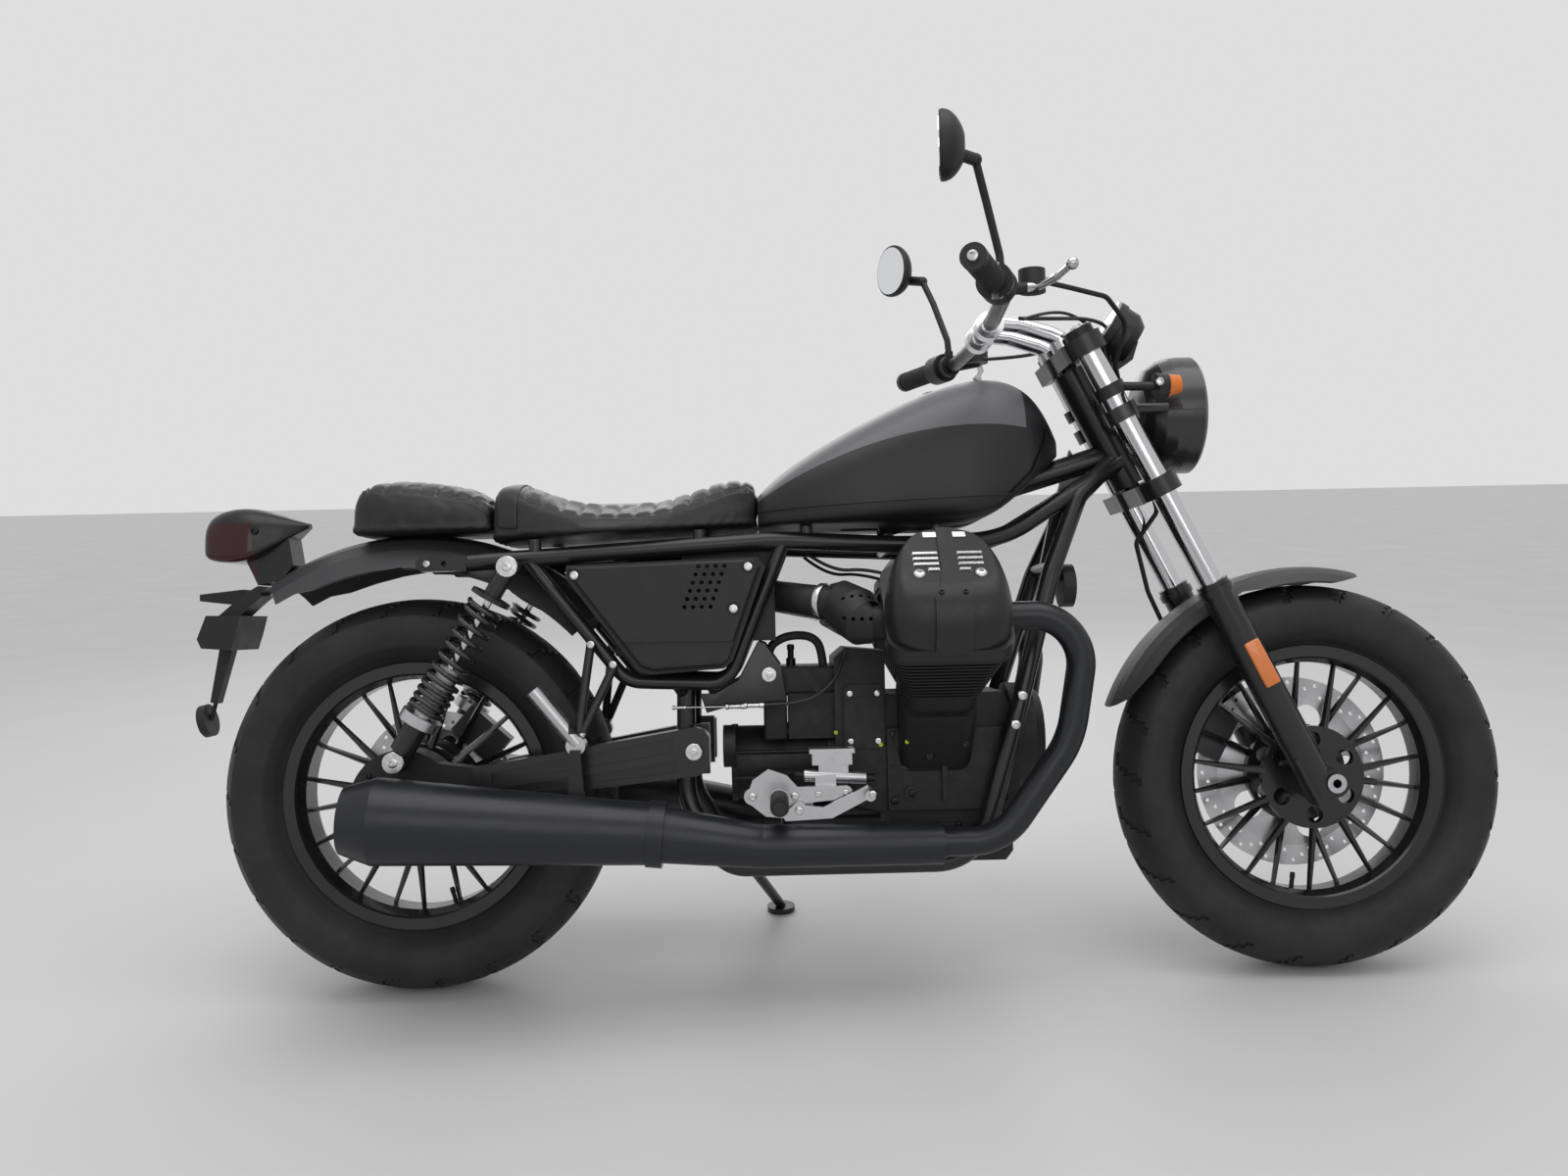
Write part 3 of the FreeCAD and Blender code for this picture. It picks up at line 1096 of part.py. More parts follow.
def yoke(height, thickness):
    """A yoke in the upright steering frame: a bridge with an eye round each fork leg."""
    middle = rod(V(0, 0, height), V(0, 0, height + thickness), 32)
    bridge = box(-26, 30, -LEG_SPACING, LEG_SPACING, height, height + thickness)
    eyes = [rod(V(LEG_OFFSET, s * LEG_SPACING, height), V(LEG_OFFSET, s * LEG_SPACING, height + thickness),
                31)
            for s in (-1, 1)]
    holes = [rod(V(LEG_OFFSET, s * LEG_SPACING, height - 1),
                 V(LEG_OFFSET, s * LEG_SPACING, height + thickness + 1), STANCHION_RADIUS) for s in (-1, 1)]
    return fuse(middle, bridge, *eyes).cut(Part.makeCompound(holes))


def fork_yokes():
    stem = rod(V(0, 0, LOWER_YOKE_HEIGHT + 4), V(0, 0, UPPER_YOKE_HEIGHT + YOKE_THICKNESS + 8), STEM_RADIUS)
    nut = rod(V(0, 0, UPPER_YOKE_HEIGHT + YOKE_THICKNESS), V(0, 0, UPPER_YOKE_HEIGHT + YOKE_THICKNESS + 12),
              20)
    return raked(fuse(stem, nut, yoke(LOWER_YOKE_HEIGHT, YOKE_THICKNESS),
                      yoke(UPPER_YOKE_HEIGHT, YOKE_THICKNESS)))


SLIDER_TOP = 706.0
SLIDER_FOOT = AXLE_UP - 24.0
CAP_TOP = UPPER_YOKE_HEIGHT + YOKE_THICKNESS + 14.0


def fork_stanchions():
    legs = []
    for s in (-1, 1):
        legs.append(fuse(rod(V(LEG_OFFSET, s * LEG_SPACING, SLIDER_TOP - 60),
                             V(LEG_OFFSET, s * LEG_SPACING, CAP_TOP - 10),
                             STANCHION_RADIUS),
                         rod(V(LEG_OFFSET, s * LEG_SPACING, UPPER_YOKE_HEIGHT + YOKE_THICKNESS),
                             V(LEG_OFFSET, s * LEG_SPACING, CAP_TOP), STANCHION_RADIUS + 4)))
    return raked(Part.makeCompound(legs))


def fork_sliders():
    legs = []
    for s in (-1, 1):
        x = LEG_OFFSET
        y = s * LEG_SPACING
        leg = fuse(rod(V(x, y, SLIDER_FOOT + 12), V(x, y, SLIDER_TOP), SLIDER_RADIUS),
                   rod(V(x, y, SLIDER_TOP - 20), V(x, y, SLIDER_TOP - 8), SLIDER_RADIUS + 3),
                   rod(V(AXLE_AHEAD, y - 23, AXLE_UP), V(AXLE_AHEAD, y + 23, AXLE_UP), 23),
                   box(x - 22, AXLE_AHEAD, y - 20, y + 20, AXLE_UP - 22, AXLE_UP + 60))
        leg = leg.cut(rod(V(x, y, SLIDER_TOP - 60), V(x, y, SLIDER_TOP + 1), STANCHION_RADIUS))
        leg = leg.cut(rod(V(AXLE_AHEAD, y - 40, AXLE_UP), V(AXLE_AHEAD, y + 40, AXLE_UP), AXLE_RADIUS))
        legs.append(leg)
    return raked(Part.makeCompound(legs))


def leg_collar(side, low, high, radius, arm):
    """A clamp round a fork tube with an arm on it."""
    foot = V(LEG_OFFSET, side * LEG_SPACING, low)
    head = V(LEG_OFFSET, side * LEG_SPACING, high)
    room = rod(foot - Z * 60, head + Z * 60, STANCHION_RADIUS + SEAT_GAP)
    return fuse(raked(rod(foot, head, radius)), arm).cut(raked(room))


def headlamp():
    """Bucket with its front rim and the ledge round its middle, carried on the fork by two arms."""
    centre = V(0, 0, 922)
    shell = turned([(0, 1199), (34, 1199), (58, 1203), (77, 1213), (89, 1229), (95, 1248), (97, 1266),
                    (97, 1288),
                    (92, 1293), (84, 1294), (60, 1300), (0, 1304)], centre, X, Z)
    ledge = turned([(0, 1204), (62, 1206), (86, 1222), (99, 1250), (101, 1270), (101, 1286), (0, 1286)],
                   centre, X, Z)
    ledge = ledge.common(box(1200, 1290, -110, 110, centre.z - 5, centre.z + 3))
    bracket = [leg_collar(s, 1000, 1024, 27, rod(steering_point(LEG_OFFSET + 18, s * 98, 1012),
                                                 V(1228, s * 86, 922), 8))
               for s in (-1, 1)]
    return fuse(fuse(shell, ledge), *bracket)


def front_signals():
    lamps = []
    for s in (-1, 1):
        stem = rod(steering_point(LEG_OFFSET + 16, s * 104, 1052), V(1206, s * 134, 948), 7)
        lamps.append(fuse(leg_collar(s, 1042, 1062, 26, stem),
                          taper(V(1194, s * 140, 946), V(1232, s * 140, 950), 22, 14)))
    return Part.makeCompound(lamps)


def gauge():
    """Round instrument tilted to the rider, in a deep cup on a bracket from the upper yoke."""
    face = V(1150, 0, 1074)
    back = V(0.84, 0, -0.54).normalize()
    pod = turned([(0, 2), (44, 2), (46, 0), (50, 0), (52, 3), (52, 18), (49, 22), (49, 42), (38, 58),
                  (0, 62)], face, back, Y)
    stay = plate([(1088, 1040), (1130, 1018), (1172, 1000), (1196, 1016), (1206, 1046), (1176, 1064),
                  (1150, 1030)],
                 -16, 16).cut(
        raked(box(-60, 32 + SEAT_GAP, -40, 40, UPPER_YOKE_HEIGHT - 40, UPPER_YOKE_HEIGHT + 60)))
    return fuse_in_turn(pod, stay)


BAR_END = V(867, 424, 1072)
BAR_BEND = V(939.5, 250, 1069.5)
PERCH_RADIUS = 20.0
RISER_Y = 46.0
MIRROR_RING = [(0, 55), (26, 48), (46, 24), (50, -8), (39, -36), (14, -50), (-14, -48), (-36, -31), (-44, -2),
               (-38, 26), (-22, 48)]
MIRROR_PLACES = {1: V(828, 336, 1271), -1: V(835, -336, 1258)}
MIRROR_TURNS = {1: 34.0, -1: 8.0}          # degrees that each glass is set in towards the rider
HOSE_RADIUS = 4.0
HOSE_END = V(1336, 84, 452)       # on the front caliper's top


def to_side(point, side):
    return V(point.x, point.y * side, point.z)


def handlebar():
    """A bent bar on two swan-necked risers bolted to the upper yoke."""
    bar = bent_bar([to_side(BAR_END, -1), to_side(BAR_BEND, -1), V(950, -90, 1069), V(950, 90, 1069),
                    BAR_BEND,
                    BAR_END], [80, 200, 200, 80], BAR_RADIUS)
    parts = [bar]
    top = UPPER_YOKE_HEIGHT + YOKE_THICKNESS + SEAT_GAP
    for s in (-1, 1):
        y = s * RISER_Y
        parts.append(raked(rod(V(-4, y, top), V(-4, y, top + 16), 20)))
        neck = [(steering_point(-4, y, top + 6), 16), (steering_point(-5, y, top + 20), 15),
                (steering_point(-14, y, top + 32), 14), (V(1000, y, 1070), 13), (V(975, y, 1073), 13),
                (V(950, y, 1069), 13)]
        parts.append(trumpet(neck))
        parts.append(rod(V(950, y - 14, 1069), V(950, y + 14, 1069), 23))
    return fuse_in_turn(*parts)


def hand_controls():
    """Grip, switch housing with its cylinder, and lever with a ball end, on each side."""
    both = []
    for s in (-1, 1):
        end = to_side(BAR_END, s)
        way = (to_side(BAR_BEND, s) - end).normalize()
        grip = tube(end, end + way * 112, GRIP_RADIUS, BAR_RADIUS)
        cap = rod(end - way * 12, end, GRIP_RADIUS + 2)
        house = tube(end + way * 114, end + way * 150, 27, BAR_RADIUS)
        perch = end + way * 162
        clamp = tube(perch - way * 9, perch + way * 9, PERCH_RADIUS, BAR_RADIUS)
        pivot = V(984, s * 262, 1074)
        arm = rod(perch + V(17, 0, 0), pivot, 9)
        tank = rod(V(980, s * 250, 1070), V(980, s * 250, 1104), 20)
        lever = fuse(rod(pivot, V(1000, s * 330, 1072), 6),
                     rod(V(1000, s * 330, 1072), V(1004, s * 396, 1070), 5),
                     Part.makeSphere(9, V(1004, s * 400, 1070)))
        perch_piece = fuse_in_turn(clamp, arm, tank, lever).cut(rod(end, to_side(BAR_BEND, s), BAR_RADIUS))
        both += [fuse(grip, cap), house, perch_piece]
    return Part.makeCompound(both)


def mirrors():
    """Teardrop heads on bent stems, with a knuckle between them."""
    both = []
    for s in (-1, 1):
        boss = rod(V(930, s * 274, 1098), V(930, s * 274, 1076), 8).cut(
            rod(to_side(BAR_END, s), to_side(BAR_BEND, s), PERCH_RADIUS + SEAT_GAP))
        neck = V(889, s * 318, 1246)
        stem = bent_bar([V(930, s * 274, 1094), V(928, s * 275, 1120), V(906, s * 296, 1196), neck],
                        [20, 40], 6)
        turn = math.radians(MIRROR_TURNS[s])
        ahead = V(math.cos(turn), s * math.sin(turn), 0)
        aside = ahead.cross(Z)
        centre = MIRROR_PLACES[s]
        rows = []
        for depth, size in ((0, 0.96), (2, 1.0), (8, 1.0), (18, 0.92), (28, 0.7), (34, 0.46), (36, 0.3)):
            middle = centre + ahead * depth
            rows.append([middle + aside * (v * size) + Z * (u * size) for v, u in MIRROR_RING])
        knuckle = rod(centre + ahead * 28 - Z * 12, neck, 9)
        ball = Part.makeSphere(9.5, neck)
        both.append(fuse_in_turn(stem, boss, skin(rows), knuckle, ball))
    return Part.makeCompound(both)


def brake_hose():
    """Front brake hose from the hand lever's cylinder, in front of the yokes and down behind the left leg."""
    inner = LEG_SPACING - 32
    points = [V(1000 + SEAT_GAP, -236, 1090), V(1046, -196, 1092), V(1118, -150, 1088), V(1166, -92, 1058),
              steering_point(54, -58, 1090), steering_point(42, 0, 980), steering_point(28, 32, 930),
              steering_point(52, 56, LOWER_YOKE_HEIGHT + 34),
              steering_point(40, 64, LOWER_YOKE_HEIGHT - 30),
              steering_point(-18, inner, LOWER_YOKE_HEIGHT - 60),
              steering_point(-38, inner + 6, 720), steering_point(-42, inner + 14, 600), HOSE_END]
    return bent_bar(points, [30, 40, 40, 30, 40, 20, 20, 16, 16, 60, 80], HOSE_RADIUS)


# Side stand

def floor_height(y):
    """Height of the floor in the upright machine's frame, under a point to the left."""
    return (y * LEAN_SIN - FLOOR_DROP) / LEAN_COS


def stand_foot():
    return V(STAND_FOOT.x, STAND_FOOT.y, floor_height(STAND_FOOT.y))


def side_stand():
    """Tapered leg with its eye on the frame's pin and a round foot flat on the floor."""
    foot = stand_foot()
    up = V(0, -LEAN_SIN, LEAN_COS)
    axis = stand_axis()
    eye = rod(STAND_PIVOT - axis * 11, STAND_PIVOT + axis * 11, 14)
    leg = taper(STAND_PIVOT, foot + up * 10, 10, 9)
    pad = rod(foot, foot + up * 10, 26)
    bore = rod(STAND_PIVOT - axis * 30, STAND_PIVOT + axis * 30, STAND_PIN_RADIUS + RUNNING_FIT)
    return fuse(eye, leg, pad).cut(bore)


# The nodes, leaned over and written out

NODES = [
    ("frame", frame), ("rail_tails", rail_tails), ("crankcase", crankcase), ("gearbox", gearbox),
    ("cylinders", cylinders), ("rocker_covers", rocker_covers), ("airbox", airbox), ("intakes", intakes),
    ("headers", headers), ("silencers", silencers), ("swingarm", swingarm), ("final_drive", final_drive),
    ("shocks", shocks), ("springs", springs), ("fuel_tank", fuel_tank), ("fuel_cap", fuel_cap),
    ("rider_seat", rider_seat), ("pillion_seat", pillion_seat), ("side_panels", side_panels),
    ("rear_fender", rear_fender), ("tail_lamp", tail_lamp), ("plate_holder", plate_holder),
    ("footrest_brackets", footrest_brackets), ("foot_controls", foot_controls),
    ("pillion_footrests", pillion_footrests), ("horn", horn), ("rear_axle", rear_axle),
    ("rear_caliper", rear_caliper), ("fork_yokes", fork_yokes), ("fork_stanchions", fork_stanchions),
    ("fork_sliders", fork_sliders), ("front_axle", front_axle), ("front_fender", front_fender),
    ("headlamp", headlamp), ("front_signals", front_signals), ("gauge", gauge), ("handlebar", handlebar),
    ("hand_controls", hand_controls), ("mirrors", mirrors), ("front_caliper", front_caliper),
    ("brake_hose", brake_hose), ("front_tyre", front_tyre), ("front_wheel", front_wheel),
    ("front_disc", front_disc), ("rear_tyre", rear_tyre), ("rear_wheel", rear_wheel),
    ("rear_disc", rear_disc), ("side_stand", side_stand),
]


def leaned(shape):
    placed = shape.copy()
    placed.rotate(V(0, 0, 0), X, -LEAN)
    return placed


def build():
    shapes = {name: leaned(make()) for name, make in NODES}
    whole = Part.makeCompound(list(shapes.values())).optimalBoundingBox()
    shift = V(-(whole.XMin + whole.XMax) / 2.0, -(whole.YMin + whole.YMax) / 2.0, -whole.ZMin)
    for name, shape in shapes.items():
        shape.translate(shift)
        shape.exportStep("parts/" + name + ".step")
    print("shift", shift, "size", whole.XLength, whole.YLength, whole.ZLength)
    return shapes, shift


if __name__ == "__main__":
    build()
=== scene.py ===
import json
import math

import bpy
from mathutils import Matrix, Vector


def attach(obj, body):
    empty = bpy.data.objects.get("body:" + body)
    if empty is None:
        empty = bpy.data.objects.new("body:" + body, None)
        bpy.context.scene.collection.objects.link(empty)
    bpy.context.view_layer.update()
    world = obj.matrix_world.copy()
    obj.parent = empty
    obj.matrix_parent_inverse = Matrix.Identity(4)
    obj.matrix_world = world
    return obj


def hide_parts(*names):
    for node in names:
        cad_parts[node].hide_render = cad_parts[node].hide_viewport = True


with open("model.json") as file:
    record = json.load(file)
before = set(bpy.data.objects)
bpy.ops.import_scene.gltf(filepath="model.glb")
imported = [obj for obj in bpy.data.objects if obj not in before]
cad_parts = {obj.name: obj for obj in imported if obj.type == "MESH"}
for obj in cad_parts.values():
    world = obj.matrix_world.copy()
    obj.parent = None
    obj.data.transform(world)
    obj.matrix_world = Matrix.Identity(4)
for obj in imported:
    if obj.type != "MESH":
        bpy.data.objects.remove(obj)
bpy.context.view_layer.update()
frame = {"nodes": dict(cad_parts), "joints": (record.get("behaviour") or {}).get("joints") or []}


# Camera
# A phone's wide lens held at knee height off the machine's right side, turned a hair towards the
# front wheel and tipped down a little.
CAMERA_PLACE = (-0.1205, -2.1384, 0.8692)
CAMERA_YAW = -0.00930
CAMERA_PITCH = -0.10945
CAMERA_ROLL = -0.02032
LENS_MM = 28.68

camera = bpy.data.objects.new("camera", bpy.data.cameras.new("camera"))
camera.data.lens = LENS_MM
camera.data.sensor_width = 36.0
camera.data.clip_end = 60.0
camera.matrix_world = (Matrix.Translation(CAMERA_PLACE) @ Matrix.Rotation(CAMERA_YAW, 4, "Z")
                       @ Matrix.Rotation(math.pi / 2 + CAMERA_PITCH, 4, "X")
                       @ Matrix.Rotation(CAMERA_ROLL, 4, "Z"))
bpy.context.scene.collection.objects.link(camera)
bpy.context.scene.camera = camera
bpy.context.scene.view_settings.view_transform = "Standard"


# Studio
# A pale floor under soft boxes: a wide one overhead, one in front and one behind, as black paint
# shows its shape only by what it reflects.
FLOOR_SIZE = 40.0
FLOOR_COLOUR = (0.60, 0.60, 0.60)
WORLD_COLOUR = (0.82, 0.82, 0.83, 1)
WORLD_STRENGTH = 0.9
LIT_PLACE = Vector((0.0, 0.0, 0.5))
SOFT_BOXES = [("overhead", (0.1, -0.6, 3.0), (3.2, 2.0), 34.0),     # name, place, size, power
              ("front", (0.4, -3.6, 1.9), (3.0, 1.6), 16.0),
              ("back", (-0.3, 3.0, 2.2), (3.0, 1.6), 22.0)]


class Value:
    """A socket of a finish's nodes that works in sums like a number."""

    def __init__(self, finish, socket):
        self.finish = finish
        self.socket = socket

    def __add__(self, other):
        return self.finish.sum("ADD", self, other)

    def __sub__(self, other):
        return self.finish.sum("SUBTRACT", self, other)

    def __rsub__(self, other):
        return self.finish.sum("SUBTRACT", other, self)

    def __mul__(self, other):
        return self.finish.sum("MULTIPLY", self, other)

    def __gt__(self, other):
        return self.finish.sum("GREATER_THAN", self, other)

    def __lt__(self, other):
        return self.finish.sum("LESS_THAN", self, other)

    def size(self):
        return self.finish.sum("ABSOLUTE", self, 0.0)

    def between(self, low, high):
        return (self > low) * (self < high)


class Finish:
    """One surface finish: a Principled shader, and the nodes that vary it over the surface."""

    def __init__(self, name, colour, roughness, metallic=0.0, **fixed):
        self.material = bpy.data.materials.new(name)
        self.material.use_nodes = True
        self.shader = self.material.node_tree.nodes["Principled BSDF"]
        self.colour = (*colour, 1.0)
        self.shader.inputs["Base Color"].default_value = self.colour
        self.shader.inputs["Roughness"].default_value = roughness
        self.shader.inputs["Metallic"].default_value = metallic
        for socket, value in fixed.items():
            self.shader.inputs[socket.replace("_", " ").title().replace("Ior", "IOR")].default_value = value

    def node(self, kind, settings=None, inputs=None, output=0):
        made = self.material.node_tree.nodes.new(kind)
        for name, value in (settings or {}).items():
            setattr(made, name, value)
        for socket, value in (inputs or {}).items():
            if isinstance(value, Value):
                self.material.node_tree.links.new(value.socket, made.inputs[socket])
            else:
                made.inputs[socket].default_value = value
        return Value(self, made.outputs[output])

    def sum(self, operation, first, second=0.0):
        return self.node("ShaderNodeMath", {"operation": operation}, {0: first, 1: second})

    def feed(self, socket, value):
        self.material.node_tree.links.new(value.socket, self.shader.inputs[socket])

    def place(self):
        return self.node("ShaderNodeTexCoord", output="Object")

    def noise(self, scale, detail):
        return self.node("ShaderNodeTexNoise", inputs={"Vector": self.place(), "Scale": scale,
                                                       "Detail": detail, "Roughness": 0.5})

    def spread(self, value, low, high):
        """Stretches a noise's middle range over low to high."""
        return self.node("ShaderNodeMapRange", inputs={"Value": value, 1: 0.3, 2: 0.7, 3: low, 4: high})

    def blend(self, factor, first, second):
        return self.node("ShaderNodeMix", {"data_type": "RGBA"}, {0: factor, 6: first, 7: second}, 2)

    def bump(self, height, distance, strength):
        self.feed("Normal", self.node("ShaderNodeBump", inputs={"Height": height, "Distance": distance,
                                                                "Strength": strength}))

    def worn(self, scale, detail, low, high):
        """Lets the roughness wander from low to high over the surface."""
        self.feed("Roughness", self.spread(self.noise(scale, detail), low, high))

    def grained(self, scale, detail, distance, strength):
        """Gives the surface a fine grain."""
        self.bump(self.noise(scale, detail), distance, strength)

    def mottled(self, scale, detail, first, second):
        """Lets the colour wander from one to another over the surface."""
        self.feed("Base Color", self.blend(self.spread(self.noise(scale, detail), 0.0, 1.0), first, second))


def clear_selection():
    for one in list(bpy.context.selected_objects):
        one.select_set(False)


clear_selection()
bpy.ops.mesh.primitive_plane_add(size=FLOOR_SIZE)
floor = bpy.context.object
floor.name = "floor"
floor_paint = Finish("floor_paint", FLOOR_COLOUR, 0.5)
floor_paint.worn(3.0, 3.0, 0.42, 0.56)
floor.data.materials.append(floor_paint.material)

world = bpy.data.worlds.new("studio")
bpy.context.scene.world = world
world.use_nodes = True
world.node_tree.nodes["Background"].inputs["Color"].default_value = WORLD_COLOUR
world.node_tree.nodes["Background"].inputs["Strength"].default_value = WORLD_STRENGTH

for name, place, size, power in SOFT_BOXES:
    lamp = bpy.data.lights.new(name, "AREA")
    lamp.shape = "RECTANGLE"
    lamp.size, lamp.size_y = size
    lamp.energy = power
    soft_box = bpy.data.objects.new(name, lamp)
    soft_box.location = place
    soft_box.rotation_euler = (LIT_PLACE - Vector(place)).to_track_quat("-Z", "Y").to_euler()
    bpy.context.scene.collection.objects.link(soft_box)


# Frame and stand
# Welded steel tube in satin black paint, with the side stand in the same paint. The CAD nodes carry
# the shape; the paint has a faint orange peel and a little dust on what faces up.
LEAN = math.radians(8.0)
WHEELBASE = 1.465
REAR_RADIUS = 0.320
FRONT_RADIUS = 0.316
DUST = (0.05, 0.048, 0.045, 1)

joints = {joint["name"]: joint for joint in frame["joints"]}
rear_axle = Vector(joints["rear_wheel_spin"]["pos_m"])
# The machine leans about its rear axle, which stands where the joints say.
PARKED = (Matrix.Translation(rear_axle) @ Matrix.Rotation(-LEAN, 4, "X")
          @ Matrix.Translation((0, 0, -REAR_RADIUS)))
UNPARKED = PARKED.inverted()
LEANED = PARKED.to_3x3()
X_WAY = LEANED @ Vector((1, 0, 0))
ACROSS = LEANED @ Vector((0, 1, 0))


def parked(x, y, z):
    """A place on the upright machine, in millimetres, as it stands leaned over."""
    return PARKED @ (Vector((x, y, z)) / 1000)


def paint_node(node, finish):
    """Gives a CAD node its finish in every slot."""
    slots = frame["nodes"][node].data.materials
    for i in range(max(1, len(slots))):
        if slots:
            slots[i] = finish.material
        else:
            slots.append(finish.material)


def upright(finish):
    """The place on the machine as if it stood upright, in metres, from the rear wheel's foot."""
    at = finish.node("ShaderNodeMapping", {"vector_type": "TEXTURE"},
                     {"Vector": finish.place(), "Location": PARKED.to_translation(),
                      "Rotation": PARKED.to_euler()})
    return [finish.node("ShaderNodeSeparateXYZ", inputs={"Vector": at}, output=i) for i in range(3)]


def dusted(finish, scale, amount):
    """Adds a thin, patchy film of dust to what faces up."""
    facing = finish.node("ShaderNodeSeparateXYZ",
                         inputs={"Vector": finish.node("ShaderNodeNewGeometry", output="Normal")}, output=2)
    film = (facing > 0.35) * finish.spread(finish.noise(scale, 5.0), 0.0, amount)
    finish.feed("Base Color", finish.blend(film, finish.colour, DUST))


satin_black = Finish("satin_black", (0.009, 0.009, 0.0095), 0.3, specular_ior_level=0.4, coat_weight=0.2,
                     coat_roughness=0.2)
satin_black.worn(14.0, 4.0, 0.24, 0.36)
satin_black.grained(420.0, 2.0, 0.0002, 0.35)
dusted(satin_black, 30.0, 0.12)

for node in ("frame", "rail_tails", "side_stand", "swingarm", "fork_yokes", "fork_sliders"):
    paint_node(node, satin_black)


# Screws and bolts
# Zinc-plated button and cap screws with round sockets, each sunk a little into the part it holds.
# One screw is turned up from a disc and copied; the copies of a body are one piece.
zinc = Finish("zinc", (0.45, 0.45, 0.45), 0.24, 1.0)
zinc.worn(160.0, 3.0, 0.18, 0.34)
zinc.mottled(220.0, 2.0, (0.5, 0.5, 0.5, 1), (0.68, 0.67, 0.66, 1))
dark_zinc = Finish("dark_zinc", (0.03, 0.03, 0.032), 0.3, 0.9)
dark_zinc.worn(160.0, 3.0, 0.24, 0.42)
paint_dab = Finish("paint_dab", (0.55, 0.62, 0.03), 0.5)
paint_dab.worn(300.0, 2.0, 0.4, 0.65)

OUTSIDE = 480                   # millimetres from the middle, beyond every part a screw goes into
SCREW = [(0.0066, 0.0), (0.0066, 0.0026), (0.0056, 0.0042), (0.0034, 0.0046), (0.0031, 0.0016)]


def faced_out():
    """Turns every face of the piece in edit mode outwards, and leaves edit mode."""
    bpy.ops.mesh.select_all(action="SELECT")
    bpy.ops.mesh.normals_make_consistent(inside=False)
    bpy.ops.object.mode_set(mode="OBJECT")


def turned_up(name, stations, around=16, smooth=35.0):
    """A round piece drawn up from a disc: (radius, height) at each station, in metres."""
    clear_selection()
    radius, height = stations[0]
    bpy.ops.mesh.primitive_circle_add(vertices=around, radius=radius, fill_type="NGON", location=(0, 0, 0))
    piece = bpy.context.object
    piece.name = name
    bpy.ops.object.mode_set(mode="EDIT")
    bpy.ops.mesh.select_all(action="SELECT")
    bpy.ops.transform.translate(value=(0, 0, height))
    for wide, high in stations[1:]:
        bpy.ops.mesh.extrude_region_move(TRANSFORM_OT_translate={"value": (0, 0, high - height)})
        bpy.ops.transform.resize(value=(wide / radius, wide / radius, 1), center_override=(0, 0, high))
        radius, height = wide, high
    faced_out()
    bpy.ops.object.shade_smooth_by_angle(angle=math.radians(smooth))
    return piece


def stood(place, way):
    """The turn and move that stand a piece made along Z on a place, pointing a way."""
    return Matrix.Translation(place) @ way.to_track_quat("Z", "Y").to_matrix().to_4x4()


def joined(pieces, name):
    """Several meshes as one piece, with every place in its mesh."""
    clear_selection()
    for piece in pieces:
        piece.select_set(True)
    bpy.context.view_layer.objects.active = pieces[0]
    bpy.ops.object.transform_apply(location=True, rotation=True, scale=True)
    if len(pieces) > 1:
        bpy.ops.object.join()
    pieces[0].name = name
    return pieces[0]


def copied(model, places, name):
    """Copies of one modelled piece, each with its own mesh, at a list of matrices; the model goes."""
    copies = []
    for place in places:
        copy = bpy.data.objects.new(name, model.data.copy())
        copy.data.transform(place)
        bpy.context.scene.collection.objects.link(copy)
        copies.append(copy)
    bpy.data.objects.remove(model)
    return joined(copies, name)


def fitted(piece, finish, body):
    """Gives a finished piece its material and its body."""
    piece.data.materials.clear()
    piece.data.materials.append(finish.material)
    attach(piece, body)


def turned_copies(name, stations, places, finish, body, around=16, smooth=35.0):
    """Copies of one round piece at a list of matrices, finished as one piece."""
    fitted(copied(turned_up(name, stations, around, smooth), places, name), finish, body)


def touched(node, start, way):
    """Where a line first meets a CAD node's surface."""
    hit, place, normal, face = frame["nodes"][node].ray_cast(start, way)
    if not hit:
        raise RuntimeError("nothing of " + node + " lies there")
    return place


def side_screws(name, body, spots, finish):
    """Screws driven across the machine: node, sides, x and z in millimetres, size against the model."""
    places = []
    for node, sides, x, z, size in spots:
        for side in sides:
            inward = ACROSS * -side
            at = touched(node, parked(x, side * OUTSIDE, z), inward)
            places.append(stood(at + inward * 0.0004, -inward) @ Matrix.Scale(size, 4))
    turned_copies(name, SCREW, places, finish, body)


BOTH = (-1, 1)
side_screws("panel_screws", "chassis",
            [("side_panels", BOTH, x, z, 1.15) for x, z in ((277, 668), (547, 676), (523, 611))], zinc)
side_screws("frame_screws", "chassis",
            [("frame", BOTH, 974, 465, 1.2), ("frame", BOTH, 961, 420, 1.2),
             ("rail_tails", BOTH, 42, 692, 0.9), ("pillion_footrests", BOTH, 299, 560, 1.0),
             ("pillion_footrests", BOTH, 333, 528, 1.0)]
            + [("gearbox", BOTH, x, z, 0.8) for z in (396, 472) for x in (704, 748)]
            + [("footrest_brackets", BOTH, 547, 322, 1.0), ("footrest_brackets", BOTH, 612, 322, 1.0),
               ("footrest_brackets", BOTH, 648, 324, 0.8), ("footrest_brackets", BOTH, 690, 326, 0.8),
               ("foot_controls", (-1,), 727, 330, 0.9), ("foot_controls", (-1,), 618, 302, 1.0)], zinc)
side_screws("case_screws", "chassis",
            [("crankcase", BOTH, x, z, 0.9) for x, z in ((772, 300), (772, 405), (950, 300), (950, 404),
                                                        (826, 372), (880, 392), (930, 330), (800, 312))]
            + [("crankcase", BOTH, 786 + 30 * i, 258, 0.7) for i in range(6)], dark_zinc)
side_screws("drive_screws", "chassis",
            [("final_drive", (-1,), 66 * math.cos(math.radians(a)), 320 + 66 * math.sin(math.radians(a)), 0.8)
             for a in range(20, 380, 60)], dark_zinc)
